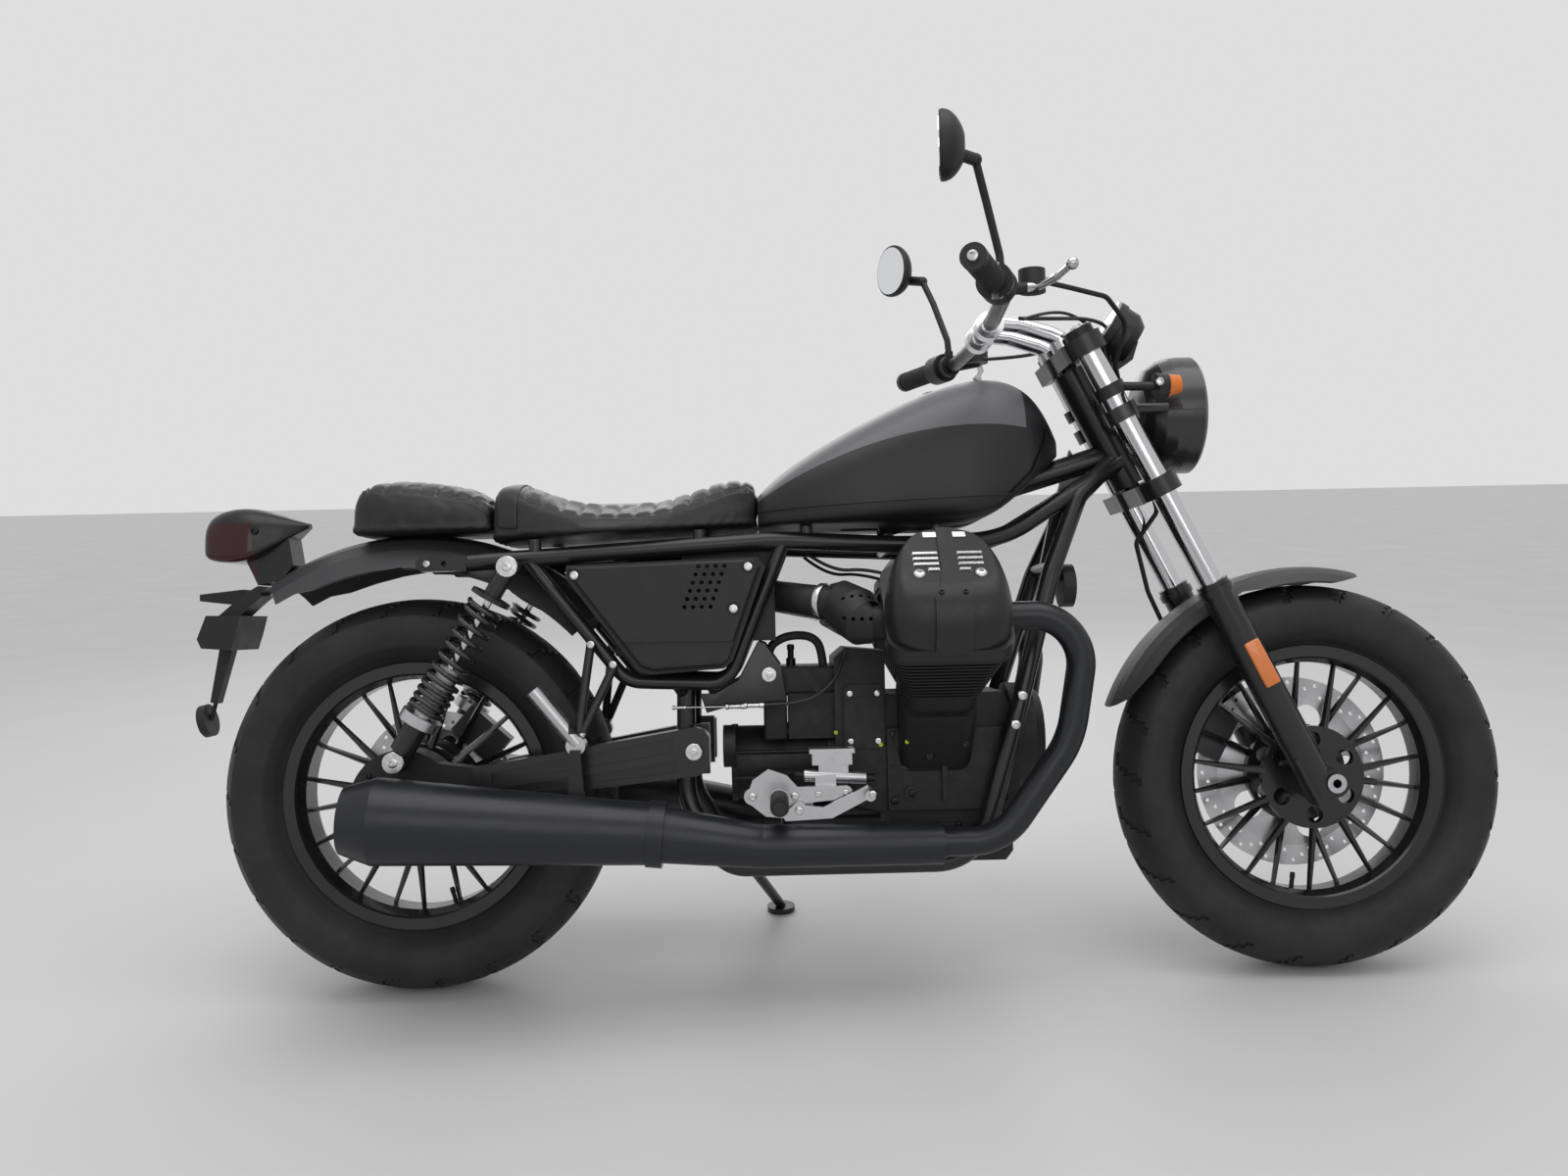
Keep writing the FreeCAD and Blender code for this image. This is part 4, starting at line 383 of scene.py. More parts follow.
side_screws("paint_dabs", "chassis",
            [("gearbox", (-1,), 752, 390, 0.55), ("gearbox", (-1,), 681, 410, 0.5),
             ("crankcase", (-1,), 789, 398, 0.5)], paint_dab)

WASHER = [(0.0165, 0.0), (0.0165, 0.0022), (0.0155, 0.0032), (0.0078, 0.0034), (0.0074, 0.0052),
          (0.0062, 0.0058), (0.0036, 0.0058), (0.0033, 0.0028)]
places = [stood(parked(x, side * 179.2, z), ACROSS * side)
          for side in BOTH for x, z in ((179, 682), (2, 387))]
turned_copies("shock_bolts", WASHER, places, zinc, "chassis", 28)
places = [stood(parked(457, side * 145.2, 390), ACROSS * side) @ Matrix.Scale(0.8, 4) for side in BOTH]
turned_copies("pivot_caps", WASHER, places, zinc, "chassis", 28)


# Engine
# Cast alloy cases, barrels and covers under a wrinkle-black coat; the covers' raised bars are
# machined bright, and each cover carries a bare bright plate and two domed screws.
CYLINDER_X = 838.0
STAGGER = 26.0
CRANK_Z = 345.0
SLANT = math.sqrt(0.5)
BAR_ROWS = [(-36.0, 50.0), (-24.5, 50.0), (-13.0, 50.0), (-1.5, 30.0)]    # down the cover, reach
BAR_HALF = 0.0025
BRIGHT = (0.55, 0.55, 0.56, 1)
BEYOND_COVERS = 520             # millimetres out from the crank
DOMED = [(0.0092, 0.0), (0.0092, 0.0016), (0.0082, 0.0036), (0.006, 0.0048), (0.0034, 0.0052),
         (0.0031, 0.0024)]

wrinkle_black = Finish("wrinkle_black", (0.011, 0.011, 0.0115), 0.5, specular_ior_level=0.35)
wrinkle_black.worn(60.0, 4.0, 0.42, 0.6)
wrinkle_black.grained(900.0, 3.0, 0.0004, 0.5)
dusted(wrinkle_black, 40.0, 0.2)

cover_black = Finish("cover_black", (0.01, 0.01, 0.0105), 0.38, specular_ior_level=0.4)
x, y, z = upright(cover_black)
from_middle = y.size()
along = (x - CYLINDER_X / 1000 - (y > 0.0) * (STAGGER / 1000)).size()
down = (from_middle - z + CRANK_Z / 1000) * SLANT
bars = (from_middle < 0.0) * 1.0
for row, reach in BAR_ROWS:
    bars = bars + (along > 0.0142) * (along < reach / 1000 + 0.0005) * down.between(row / 1000 - BAR_HALF,
                                                                                row / 1000 + BAR_HALF)
cover_black.feed("Base Color", cover_black.blend(bars, cover_black.colour, BRIGHT))
cover_black.feed("Metallic", bars)
cover_black.feed("Roughness", cover_black.spread(cover_black.noise(60.0, 4.0), 0.34, 0.46) - bars * 0.14)
cover_black.grained(900.0, 3.0, 0.0003, 0.3)

for node in ("crankcase", "gearbox", "cylinders", "final_drive"):
    paint_node(node, wrinkle_black)
paint_node("rocker_covers", cover_black)


def cover_place(side, ahead, low, out):
    """A place on a rocker cover, in millimetres: ahead of its middle, down across it, out from the crank."""
    x = CYLINDER_X + (STAGGER if side > 0 else 0.0) + ahead
    return parked(x, side * (out + low) * SLANT, CRANK_Z + (out - low) * SLANT)


def cover_way(side):
    return (LEANED @ Vector((0, side * SLANT, SLANT))).normalized()


places = []
small = []
for side in BOTH:
    way = cover_way(side)
    for ahead in (-44, 44):
        at = touched("rocker_covers", cover_place(side, ahead, 6, BEYOND_COVERS), -way)
        places.append(stood(at - way * 0.001, way))
    for ahead in (-17, 17):
        at = touched("rocker_covers", cover_place(side, ahead, 46, BEYOND_COVERS), -way)
        small.append(stood(at - way * 0.0006, way) @ Matrix.Scale(0.62, 4))
turned_copies("cover_domes", DOMED, places, zinc, "chassis", 24)
turned_copies("cover_screws", SCREW, small, dark_zinc, "chassis")


def modified(piece, kind, **settings):
    """Puts one modifier on the active piece and applies it."""
    modifier = piece.modifiers.new(kind.lower(), kind)
    for name, value in settings.items():
        setattr(modifier, name, value)
    bpy.ops.object.modifier_apply(modifier=modifier.name)


def rounded_bar(sizes, width, segments):
    """A bar about its own middle with rounded edges, in metres."""
    clear_selection()
    bpy.ops.mesh.primitive_cube_add(size=1.0)
    bar = bpy.context.object
    bar.scale = sizes
    bpy.ops.object.transform_apply(location=False, rotation=False, scale=True)
    modified(bar, "BEVEL", width=width, segments=segments)
    return bar


plates = []
for side in BOTH:
    plate = rounded_bar((0.064, 0.0115, 0.003), 0.0014, 3)
    way = cover_way(side)
    turn = Matrix((X_WAY, way.cross(X_WAY), way)).transposed().to_4x4()
    plate.data.transform(Matrix.Translation(cover_place(side, 0, -77, 441.6)) @ turn)
    plates.append(plate)
bright_plate = Finish("bright_plate", (0.7, 0.7, 0.71), 0.22, 1.0)
bright_plate.worn(240.0, 2.0, 0.16, 0.3)
fitted(joined(plates, "cover_plates"), bright_plate, "chassis")


# Mouldings
# Grained black plastic for the air box, the intakes, the side covers, the horn, the plate holder and
# the mirrors, with a bright clamp round each intake.
moulded_black = Finish("moulded_black", (0.013, 0.013, 0.0135), 0.48, specular_ior_level=0.35)
moulded_black.worn(24.0, 3.0, 0.42, 0.56)
moulded_black.grained(1400.0, 1.0, 0.0002, 0.4)
dusted(moulded_black, 40.0, 0.15)

for node in ("airbox", "intakes", "side_panels", "plate_holder", "horn", "mirrors"):
    paint_node(node, moulded_black)

CLAMP = [(0.0274, 0.0), (0.0284, 0.0), (0.029, 0.001), (0.029, 0.009), (0.0284, 0.010), (0.0274, 0.010)]
places = []
for side in BOTH:
    bend = parked(640, side * 134, 622)
    run = (parked(684, side * 161, 616) - bend).normalized()
    places.append(stood(bend + run * 0.0215, run))
turned_copies("hose_clamps", CLAMP, places, zinc, "chassis", 40)


# Exhaust
# Steel pipes and silencers in a smooth heat-proof satin black, a little bluer and glossier where
# they are rubbed clean.
heat_black = Finish("heat_black", (0.01, 0.011, 0.014), 0.34, specular_ior_level=0.4)
heat_black.worn(9.0, 3.0, 0.28, 0.4)
heat_black.grained(700.0, 2.0, 0.0001, 0.3)
dusted(heat_black, 30.0, 0.1)

for node in ("headers", "silencers"):
    paint_node(node, heat_black)


# Tank and fenders
# Pressed steel in matte black; the tank's top carries a grey panel whose edge runs along the
# shoulder, and the fenders are a dark grey.
SHOULDER_TOP = 0.892
SHOULDER_X = 0.925
SHOULDER_FALL = 0.835
PANEL_FRONT = 0.992
TANK_BLACK = (0.01, 0.01, 0.0115, 1)
TANK_GREY = (0.105, 0.105, 0.11, 1)

tank_paint = Finish("tank_paint", TANK_BLACK[:3], 0.42, specular_ior_level=0.4)
x, y, z = upright(tank_paint)
ahead = x - SHOULDER_X
shoulder = SHOULDER_TOP - ahead * ahead * SHOULDER_FALL
grey = (z > shoulder) * (x < PANEL_FRONT)
tank_paint.feed("Base Color", tank_paint.blend(grey, TANK_BLACK, TANK_GREY))
tank_paint.feed("Roughness", tank_paint.spread(tank_paint.noise(7.0, 3.0), 0.38, 0.46) - grey * 0.05)
tank_paint.grained(1100.0, 1.0, 0.0001, 0.25)
paint_node("fuel_tank", tank_paint)

fender_grey = Finish("fender_grey", (0.036, 0.036, 0.039), 0.42, specular_ior_level=0.4)
fender_grey.worn(7.0, 3.0, 0.38, 0.48)
fender_grey.grained(1100.0, 1.0, 0.0001, 0.25)
dusted(fender_grey, 25.0, 0.15)
for node in ("front_fender", "rear_fender"):
    paint_node(node, fender_grey)


# Bright metal
# Ground steel discs, dark anodised fittings, hard chrome on the fork tubes, and the parts that are
# bright in one place and black or rubber in another.
disc_steel = Finish("disc_steel", (0.5, 0.5, 0.51), 0.28, 1.0)
disc_steel.worn(30.0, 2.0, 0.22, 0.38)
disc_steel.grained(500.0, 1.0, 0.0001, 0.3)

dark_alloy = Finish("dark_alloy", (0.05, 0.05, 0.053), 0.36, 0.8)
dark_alloy.worn(40.0, 3.0, 0.3, 0.44)
dark_alloy.grained(800.0, 2.0, 0.0001, 0.3)

for node, finish in (("front_disc", disc_steel), ("rear_disc", disc_steel), ("front_axle", disc_steel),
                     ("rear_axle", dark_alloy), ("front_caliper", dark_alloy), ("rear_caliper", dark_alloy),
                     ("fuel_cap", dark_alloy)):
    paint_node(node, finish)


def two_toned(node, name, first, second, mask, rough, metal):
    """Paints a node in one finish, and in a second where a mask says so; rough and metal are pairs."""
    finish = Finish(name, first[:3], rough[0], metal[0], specular_ior_level=0.4)
    choice = mask(*upright(finish))
    finish.feed("Base Color", finish.blend(choice, first, second))
    wear = finish.spread(finish.noise(45.0, 3.0), -0.05, 0.07)
    finish.feed("Roughness", choice * (rough[1] - rough[0]) + rough[0] + wear)
    finish.feed("Metallic", choice * (metal[1] - metal[0]) + metal[0])
    finish.grained(600.0, 2.0, 0.0001, 0.3)
    paint_node(node, finish)


BLACK = (0.01, 0.01, 0.0105, 1)
RUBBER_BLACK = (0.013, 0.013, 0.013, 1)
SILVER = (0.5, 0.5, 0.51, 1)
CHROME = (0.6, 0.6, 0.615, 1)
DIAL_X, DIAL_Z = 1.150, 1.074
DIAL_BACK, DIAL_UP = 0.8412, 0.5407     # the way the dial faces
# The fork tubes are chrome below the upper yoke and capped in black above it.
two_toned("fork_stanchions", "fork_chrome", CHROME, BLACK,
          lambda x, y, z: (1.5901 - x) * 0.4446 + z * 0.8957 > 1.1505, (0.07, 0.35), (1.0, 0.2))
two_toned("footrest_brackets", "bracket_silver", SILVER, RUBBER_BLACK,
          lambda x, y, z: y.size() > 0.1725, (0.26, 0.6), (1.0, 0.0))
two_toned("pillion_footrests", "peg_silver", BLACK, SILVER,
          lambda x, y, z: ((x < 0.268) + (z < 0.424)) > 0.5, (0.32, 0.26), (0.0, 1.0))
two_toned("foot_controls", "control_silver", SILVER, BLACK,
          lambda x, y, z: (z > 0.335) * ((x < 0.6275) + (x > 0.7235)), (0.3, 0.4), (1.0, 0.4))
two_toned("handlebar", "bar_black", BLACK, CHROME,
          lambda x, y, z: y.size().between(0.0255, 0.0665), (0.3, 0.14), (0.0, 1.0))
two_toned("hand_controls", "control_black", RUBBER_BLACK, SILVER,
          lambda x, y, z: ((x > 0.968) * (y.size() > 0.272)) + y.size().between(0.3175, 0.3215),
          (0.5, 0.22), (0.0, 1.0))
two_toned("gauge", "gauge_black", BLACK, SILVER,
          lambda x, y, z: ((x - DIAL_X) * DIAL_BACK - (z - DIAL_Z) * DIAL_UP).between(-0.002, 0.0045),
          (0.4, 0.25), (0.0, 1.0))


# Shocks
# Black damper tubes with a silver adjusting ring at the spring's foot, a pale sleeve inside the
# spring and a chrome rod above it; the springs are wound from round black wire.
FOOT = Vector((2.0, 0.0, 387.0))
TOP = Vector((179.0, 0.0, 682.0))
SHOCK_Y = 165.0
SPRING_COIL = 25.8              # wire's middle from the axis
WIRE = 0.0042
SPRING_FOOT = 86.5
END_TURN = 9.4                  # rise of a closed end turn
SPRING_RISES = [0.0, END_TURN, 21.4, 33.4, 45.4, 59.4, 75.4]
SPRING_END = 185.3
OPEN_TURNS = 5                  # evenly spaced, above the rises listed
STEPS = 12
SPRING_WAY = (TOP - FOOT).normalized()

shock_black = Finish("shock_black", BLACK[:3], 0.3)
x, y, z = upright(shock_black)
up = (x - FOOT.x / 1000) * SPRING_WAY.x + (z - FOOT.z / 1000) * SPRING_WAY.z
ring = up.between(0.064, 0.0835)
sleeve = up.between(0.0835, 0.1655)
shaft = up.between(0.1655, 0.2855)
shade = shock_black.blend(ring, BLACK, SILVER)
shade = shock_black.blend(sleeve, shade, SILVER)
shock_black.feed("Base Color", shock_black.blend(shaft, shade, CHROME))
shock_black.feed("Metallic", ring + shaft + sleeve * 0.3)
shock_black.feed("Roughness", shock_black.spread(shock_black.noise(40.0, 3.0), 0.26, 0.38) - shaft * 0.2)
shock_black.grained(500.0, 2.0, 0.0001, 0.3)
paint_node("shocks", shock_black)

spring_black = Finish("spring_black", (0.013, 0.013, 0.014), 0.25, coat_weight=0.4, coat_roughness=0.12)
spring_black.worn(60.0, 2.0, 0.2, 0.34)


def picked(piece):
    """Makes a piece the active one and the only one selected."""
    clear_selection()
    piece.select_set(True)
    bpy.context.view_layer.objects.active = piece


def tube_along(name, points, radius, order=3, around=4, resolution=6):
    """A round tube along a smooth line through the neighbourhood of its points, closed at both ends."""
    curve = bpy.data.curves.new(name, "CURVE")
    curve.dimensions = "3D"
    curve.bevel_depth = radius
    curve.bevel_resolution = around
    curve.resolution_u = resolution
    curve.use_fill_caps = True
    spline = curve.splines.new("NURBS")
    spline.points.add(len(points) - 1)
    for knot, point in zip(spline.points, points):
        knot.co = (*point, 1.0)
    spline.order_u = order
    spline.use_endpoint_u = True
    tube = bpy.data.objects.new(name, curve)
    bpy.context.scene.collection.objects.link(tube)
    picked(tube)
    bpy.ops.object.convert(target="MESH")
    made = bpy.context.object
    bpy.ops.object.shade_smooth()
    return made


rises = list(SPRING_RISES)
last = SPRING_END - END_TURN
for i in range(OPEN_TURNS):
    rises.append(SPRING_RISES[-1] + (last - SPRING_RISES[-1]) * (i + 1) / OPEN_TURNS)
rises.append(SPRING_END)
SIDEWAYS = Vector((0, 1, 0))
coils = []
for side in BOTH:
    points = []
    for i in range((len(rises) - 1) * STEPS + 1):
        turn = min(i // STEPS, len(rises) - 2)
        height = SPRING_FOOT + rises[turn] + (rises[turn + 1] - rises[turn]) * (i / STEPS - turn)
        angle = 2 * math.pi * i / STEPS
        widen = SPRING_COIL / (0.5 + 0.5 * math.cos(math.pi / STEPS) ** 2)
        out = (SPRING_WAY.cross(SIDEWAYS) * math.cos(angle) + SIDEWAYS * math.sin(angle)) * widen
        at = FOOT + SPRING_WAY * height + out
        points.append(parked(at.x, at.y + side * SHOCK_Y, at.z))
    coils.append(tube_along("spring_coils", points, WIRE, 4, 3, 3))
coils = joined(coils, "spring_coils")
fitted(coils, spring_black, "chassis")
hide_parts("springs")


# Tyres
# Tubeless road tyres of black rubber. Each is spun from its section; the tread's slanting grooves are
# sunk afterwards, and a raised line runs round each side wall near the rim.
TREAD_DROP = 28.0
TREAD_EDGE = 5.0
FLANGE = 216.0
BEAD = 203.0
AROUND = 264
GROOVE_GROUP = 12
GROOVE_DEPTH = 0.0032
GROOVE_EDGE = 0.0009
LINE_FOOT, LINE_TOP = 22, 34    # of the side wall's raised line, above the flange
LINE_EDGE = 0.0022
LINE_RISE = 0.0005
GROOVE_STEPS = {1: (0, 1, 2), 2: (2, 3), 3: (3, 4), 4: (4, 5), 5: (5, 6)}


def arc_through(first, middle, last, count):
    """Points on the circle through three points, from the first to the last."""
    (ax, ay), (bx, by), (cx, cy) = first, middle, last
    d = 2 * (ax * (by - cy) + bx * (cy - ay) + cx * (ay - by))
    a, b, c = ax ** 2 + ay ** 2, bx ** 2 + by ** 2, cx ** 2 + cy ** 2
    ux = (a * (by - cy) + b * (cy - ay) + c * (ay - by)) / d
    uy = (a * (cx - bx) + b * (ax - cx) + c * (bx - ax)) / d
    start = math.atan2(ay - uy, ax - ux)
    turn = (math.atan2(cy - uy, cx - ux) - start + math.pi) % (2 * math.pi) - math.pi
    size = math.hypot(ax - ux, ay - uy)
    return [(ux + size * math.cos(start + turn * i / count), uy + size * math.sin(start + turn * i / count))
            for i in range(count + 1)]


def tread_rows(width):
    """How far across from the tread's middle each of its rows of faces begins, and where they end."""
    edge = width / 2 - TREAD_EDGE
    return [0.0, 3.0, 16.0, 28.0, 40.0, edge - 6.0, edge]


def tyre_section(radius, width, rim_width):
    """Half section from the crown to the bead: (radius, across) in millimetres."""
    half = width / 2
    edge = half - TREAD_EDGE
    curve = (edge ** 2 + TREAD_DROP ** 2) / (2 * TREAD_DROP)
    tread = [(radius - curve + math.sqrt(curve ** 2 - y ** 2), y) for y in tread_rows(width)]
    wall = arc_through((radius - TREAD_DROP, edge), (radius - 54, half), (FLANGE + 5, rim_width / 2 + 3), 9)
    return tread + wall[1:] + [(FLANGE, rim_width / 2), (BEAD, rim_width / 2)]


def drawn_line(points):
    """A line drawn point by point, starting from a plane merged to one corner."""
    clear_selection()
    bpy.ops.mesh.primitive_plane_add(size=0.002, location=points[0])
    bpy.ops.object.transform_apply(location=True, rotation=False, scale=False)
    bpy.ops.object.mode_set(mode="EDIT")
    bpy.ops.mesh.select_mode(type="VERT")
    bpy.ops.mesh.select_all(action="SELECT")
    bpy.ops.mesh.merge(type="CENTER")
    for start, end in zip(points, points[1:]):
        bpy.ops.mesh.extrude_region_move(TRANSFORM_OT_translate={"value": Vector(end) - Vector(start)})


def chosen_faces(piece, choose):
    """Selects the faces that a test picks, and goes into edit mode on them."""
    bpy.ops.object.mode_set(mode="OBJECT")
    picked(piece)
    bpy.ops.object.mode_set(mode="EDIT")
    bpy.ops.mesh.select_mode(type="FACE")
    bpy.ops.mesh.select_all(action="DESELECT")
    bpy.ops.object.mode_set(mode="OBJECT")
    for face in piece.data.polygons:
        face.select = choose(face)
    bpy.ops.object.mode_set(mode="EDIT")


def tyre(name, node, body, centre, width, rim_width):
    """A tyre spun about its wheel's centre; the tyre's and the rim's widths are in millimetres."""
    radius = round(centre.z * 1000, 3)
    section = tyre_section(radius, width, rim_width)
    whole = [(r, -y) for r, y in reversed(section)] + section[1:]
    drawn_line([(centre.x, y / 1000, centre.z + r / 1000) for r, y in whole])
    bpy.ops.mesh.select_all(action="SELECT")
    bpy.ops.mesh.edge_face_add()
    bpy.ops.mesh.select_all(action="SELECT")
    bpy.ops.mesh.delete(type="ONLY_FACE")
    bpy.ops.mesh.select_all(action="SELECT")
    bpy.ops.mesh.spin(steps=AROUND, angle=2 * math.pi, center=centre, axis=(0, 1, 0))
    bpy.ops.mesh.select_all(action="SELECT")
    bpy.ops.mesh.remove_doubles(threshold=0.00002)
    bpy.ops.mesh.normals_make_consistent(inside=False)
    piece = bpy.context.object
    limits = tread_rows(width)

    def is_groove(face):
        at = face.center - centre
        across = abs(at.y) * 1000
        if math.hypot(at.x, at.z) * 1000 < radius - TREAD_DROP - 1 or across > limits[-1]:
            return False
        row = sum(across > limit for limit in limits) - 1
        share = math.atan2(at.z, at.x) / (2 * math.pi) + 0.5
        step = int(share * AROUND + (0 if at.y > 0 else GROOVE_GROUP / 2)) % GROOVE_GROUP
        return step in GROOVE_STEPS.get(row, ())

    def is_line(face):
        at = face.center - centre
        out = math.hypot(at.x, at.z) * 1000 - FLANGE
        return LINE_FOOT < out < LINE_TOP and abs(at.y) * 1000 > rim_width / 2 + 4

    chosen_faces(piece, is_groove)
    bpy.ops.mesh.inset(thickness=GROOVE_EDGE, depth=-GROOVE_DEPTH)
    chosen_faces(piece, is_line)
    bpy.ops.mesh.inset(thickness=LINE_EDGE, depth=LINE_RISE)
    bpy.ops.object.mode_set(mode="OBJECT")
    bpy.ops.object.shade_smooth_by_angle(angle=math.radians(28))
    piece.data.transform(PARKED)
    piece.name = name
    fitted(piece, tyre_rubber, body)
    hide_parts(node)


tyre_rubber = Finish("tyre_rubber", (0.017, 0.017, 0.018), 0.6, specular_ior_level=0.32)
tyre_rubber.worn(50.0, 4.0, 0.5, 0.66)
tyre_rubber.mottled(12.0, 5.0, (0.013, 0.013, 0.014, 1), (0.023, 0.022, 0.022, 1))
tyre_rubber.grained(1500.0, 2.0, 0.0003, 0.4)
FRONT_CENTRE = Vector((WHEELBASE, 0, FRONT_RADIUS))
REAR_CENTRE = Vector((0, 0, REAR_RADIUS))
tyre("front_tread", "front_tyre", "front_wheel_set", FRONT_CENTRE, 130.0, 63.5)
tyre("rear_tread", "rear_tyre", "rear_wheel_set", REAR_CENTRE, 150.0, 88.9)

wheel_black = Finish("wheel_black", (0.009, 0.009, 0.0095), 0.26, specular_ior_level=0.4, coat_weight=0.3,
                     coat_roughness=0.1)
wheel_black.worn(20.0, 3.0, 0.2, 0.32)
wheel_black.grained(500.0, 2.0, 0.0001, 0.2)
for node in ("front_wheel", "rear_wheel"):
    paint_node(node, wheel_black)

rubber = Finish("rubber", (0.013, 0.013, 0.013), 0.62, specular_ior_level=0.35)
rubber.worn(50.0, 4.0, 0.55, 0.72)
rubber.grained(1500.0, 2.0, 0.0003, 0.5)
paint_node("brake_hose", rubber)


# Seats
# Foam pads under black leather: a long rider's seat and a pad behind it. The tops are sewn in
# ribs across the machine, a seam with a row of stitches runs round the sides, and a flat strap
# crosses the joint between them.
RIB_PITCH = 0.0285
RIB_DEPTH = 0.0052
STITCH_PITCH = 0.0062
STITCH_RADIUS = 0.00065
STITCH_LENGTH = 0.0036
STITCH_DROP = 0.0050            # below the side seam
RIDER = {"width": [(0.137, 0.100), (0.150, 0.122), (0.200, 0.136), (0.270, 0.142), (0.370, 0.138),
                   (0.450, 0.122), (0.520, 0.104), (0.548, 0.094), (0.5625, 0.080)],
         "top": [(0.137, 0.814), (0.150, 0.829), (0.200, 0.810), (0.270, 0.782), (0.370, 0.780),
                 (0.450, 0.794), (0.520, 0.824), (0.548, 0.830), (0.5625, 0.820)],
         "ribs": (0.196, 0.545), "seam": 0.020}
PILLION = {"width": [(-0.094, 0.072), (-0.086, 0.090), (-0.040, 0.098), (0.020, 0.102), (0.080, 0.102),
                     (0.122, 0.098), (0.1365, 0.088)],
           "top": [(-0.094, 0.799), (-0.086, 0.835), (-0.040, 0.833), (0.020, 0.826), (0.080, 0.819),
                   (0.122, 0.812), (0.1365, 0.801)],
           "ribs": (-0.066, 0.115), "seam": 0.015}
PILLION_BASE = 0.743
BASE_BAND = 0.012               # what is held, above a pad's base
SHRINK = 0.005
MOST_MOVE = 0.007
PRESSURE = 4.0
MOMENTS = 20
PANEL = 0.86                    # of the pad's half width, where the ribs end in a seam


def read_off(table, x):
    """A value read off a table of (x, value) by straight lines."""
    if x <= table[0][0]:
        return table[0][1]
    for (x0, v0), (x1, v1) in zip(table, table[1:]):
        if x <= x1:
            return v0 + (v1 - v0) * (x - x0) / (x1 - x0)
    return table[-1][1]


def swollen(name, node, voxel, base):
    """A pad made from its CAD solid: remeshed, shrunk, filled by cloth pressure, and capped."""
    pad = bpy.data.objects.new(name, frame["nodes"][node].data.copy())
    bpy.context.scene.collection.objects.link(pad)
    picked(pad)
    bpy.ops.object.mode_set(mode="EDIT")
    bpy.ops.mesh.select_all(action="SELECT")
    bpy.ops.mesh.remove_doubles(threshold=0.00002)
    bpy.ops.object.mode_set(mode="OBJECT")
    modified(pad, "REMESH", mode="VOXEL", voxel_size=voxel)
    mesh = pad.data
    start = [vertex.co.copy() for vertex in mesh.vertices]
    for vertex in mesh.vertices:
        at = UNPARKED @ vertex.co
        if at.z > base(at.x) + BASE_BAND:
            vertex.co -= vertex.normal * SHRINK
    held = pad.vertex_groups.new(name="base")
    low = [vertex.index for vertex in mesh.vertices
           if (UNPARKED @ vertex.co).z < base((UNPARKED @ vertex.co).x) + BASE_BAND]
    held.add(low, 1.0, "REPLACE")
    cloth = pad.modifiers.new("air", "CLOTH")
    cloth.settings.use_pressure = True
    cloth.settings.uniform_pressure_force = PRESSURE
    cloth.settings.effector_weights.gravity = 0.0
    cloth.settings.vertex_group_mass = "base"
    cloth.settings.quality = 4
    cloth.point_cache.frame_start = 1
    cloth.point_cache.frame_end = MOMENTS
    for moment in range(1, MOMENTS + 1):
        bpy.context.scene.frame_set(moment)
    grown = pad.evaluated_get(bpy.context.evaluated_depsgraph_get()).data
    swell = [vertex.co.copy() for vertex in grown.vertices]
    pad.modifiers.remove(cloth)
    bpy.context.scene.frame_set(1)
    for vertex, first, end in zip(mesh.vertices, start, swell):
        move = end - first
        vertex.co = first + move * min(1.0, MOST_MOVE / max(move.length, 1e-9))
    modified(pad, "SMOOTH", factor=0.5, iterations=4)
    modified(pad, "SUBSURF", levels=1, render_levels=1)
    bpy.ops.object.shade_smooth()
    return pad


def sewn(pad, shape):
    """Presses the ribs' channels, the panel's edge seams and the side seam into a pad."""
    first, last = shape["ribs"]
    upside = UNPARKED.to_3x3()
    moved = []
    for vertex in pad.data.vertices:
        at = UNPARKED @ vertex.co
        facing = upside @ vertex.normal
        half = read_off(shape["width"], at.x) * PANEL
        sink = 0.0
        if facing.z > 0.3 and first - 0.004 < at.x < last + 0.004:
            inside = min(1.0, max(0.0, (half - abs(at.y)) / 0.006))
            channel = abs((at.x - first) / RIB_PITCH - round((at.x - first) / RIB_PITCH)) * RIB_PITCH
            sink += inside * RIB_DEPTH * max(0.0, 1 - channel / 0.0075) ** 1.5
            sink += 0.0022 * max(0.0, 1 - abs(abs(at.y) - half) / 0.004)
        if abs(facing.y) > 0.25 or abs(facing.x) > 0.5:
            seam = read_off(shape["top"], at.x) - shape["seam"]
            sink += 0.0018 * max(0.0, 1 - abs(at.z - seam) / 0.0045)
        moved.append(vertex.co - vertex.normal * sink)
    for vertex, place in zip(pad.data.vertices, moved):
        vertex.co = place
    pad.data.update()


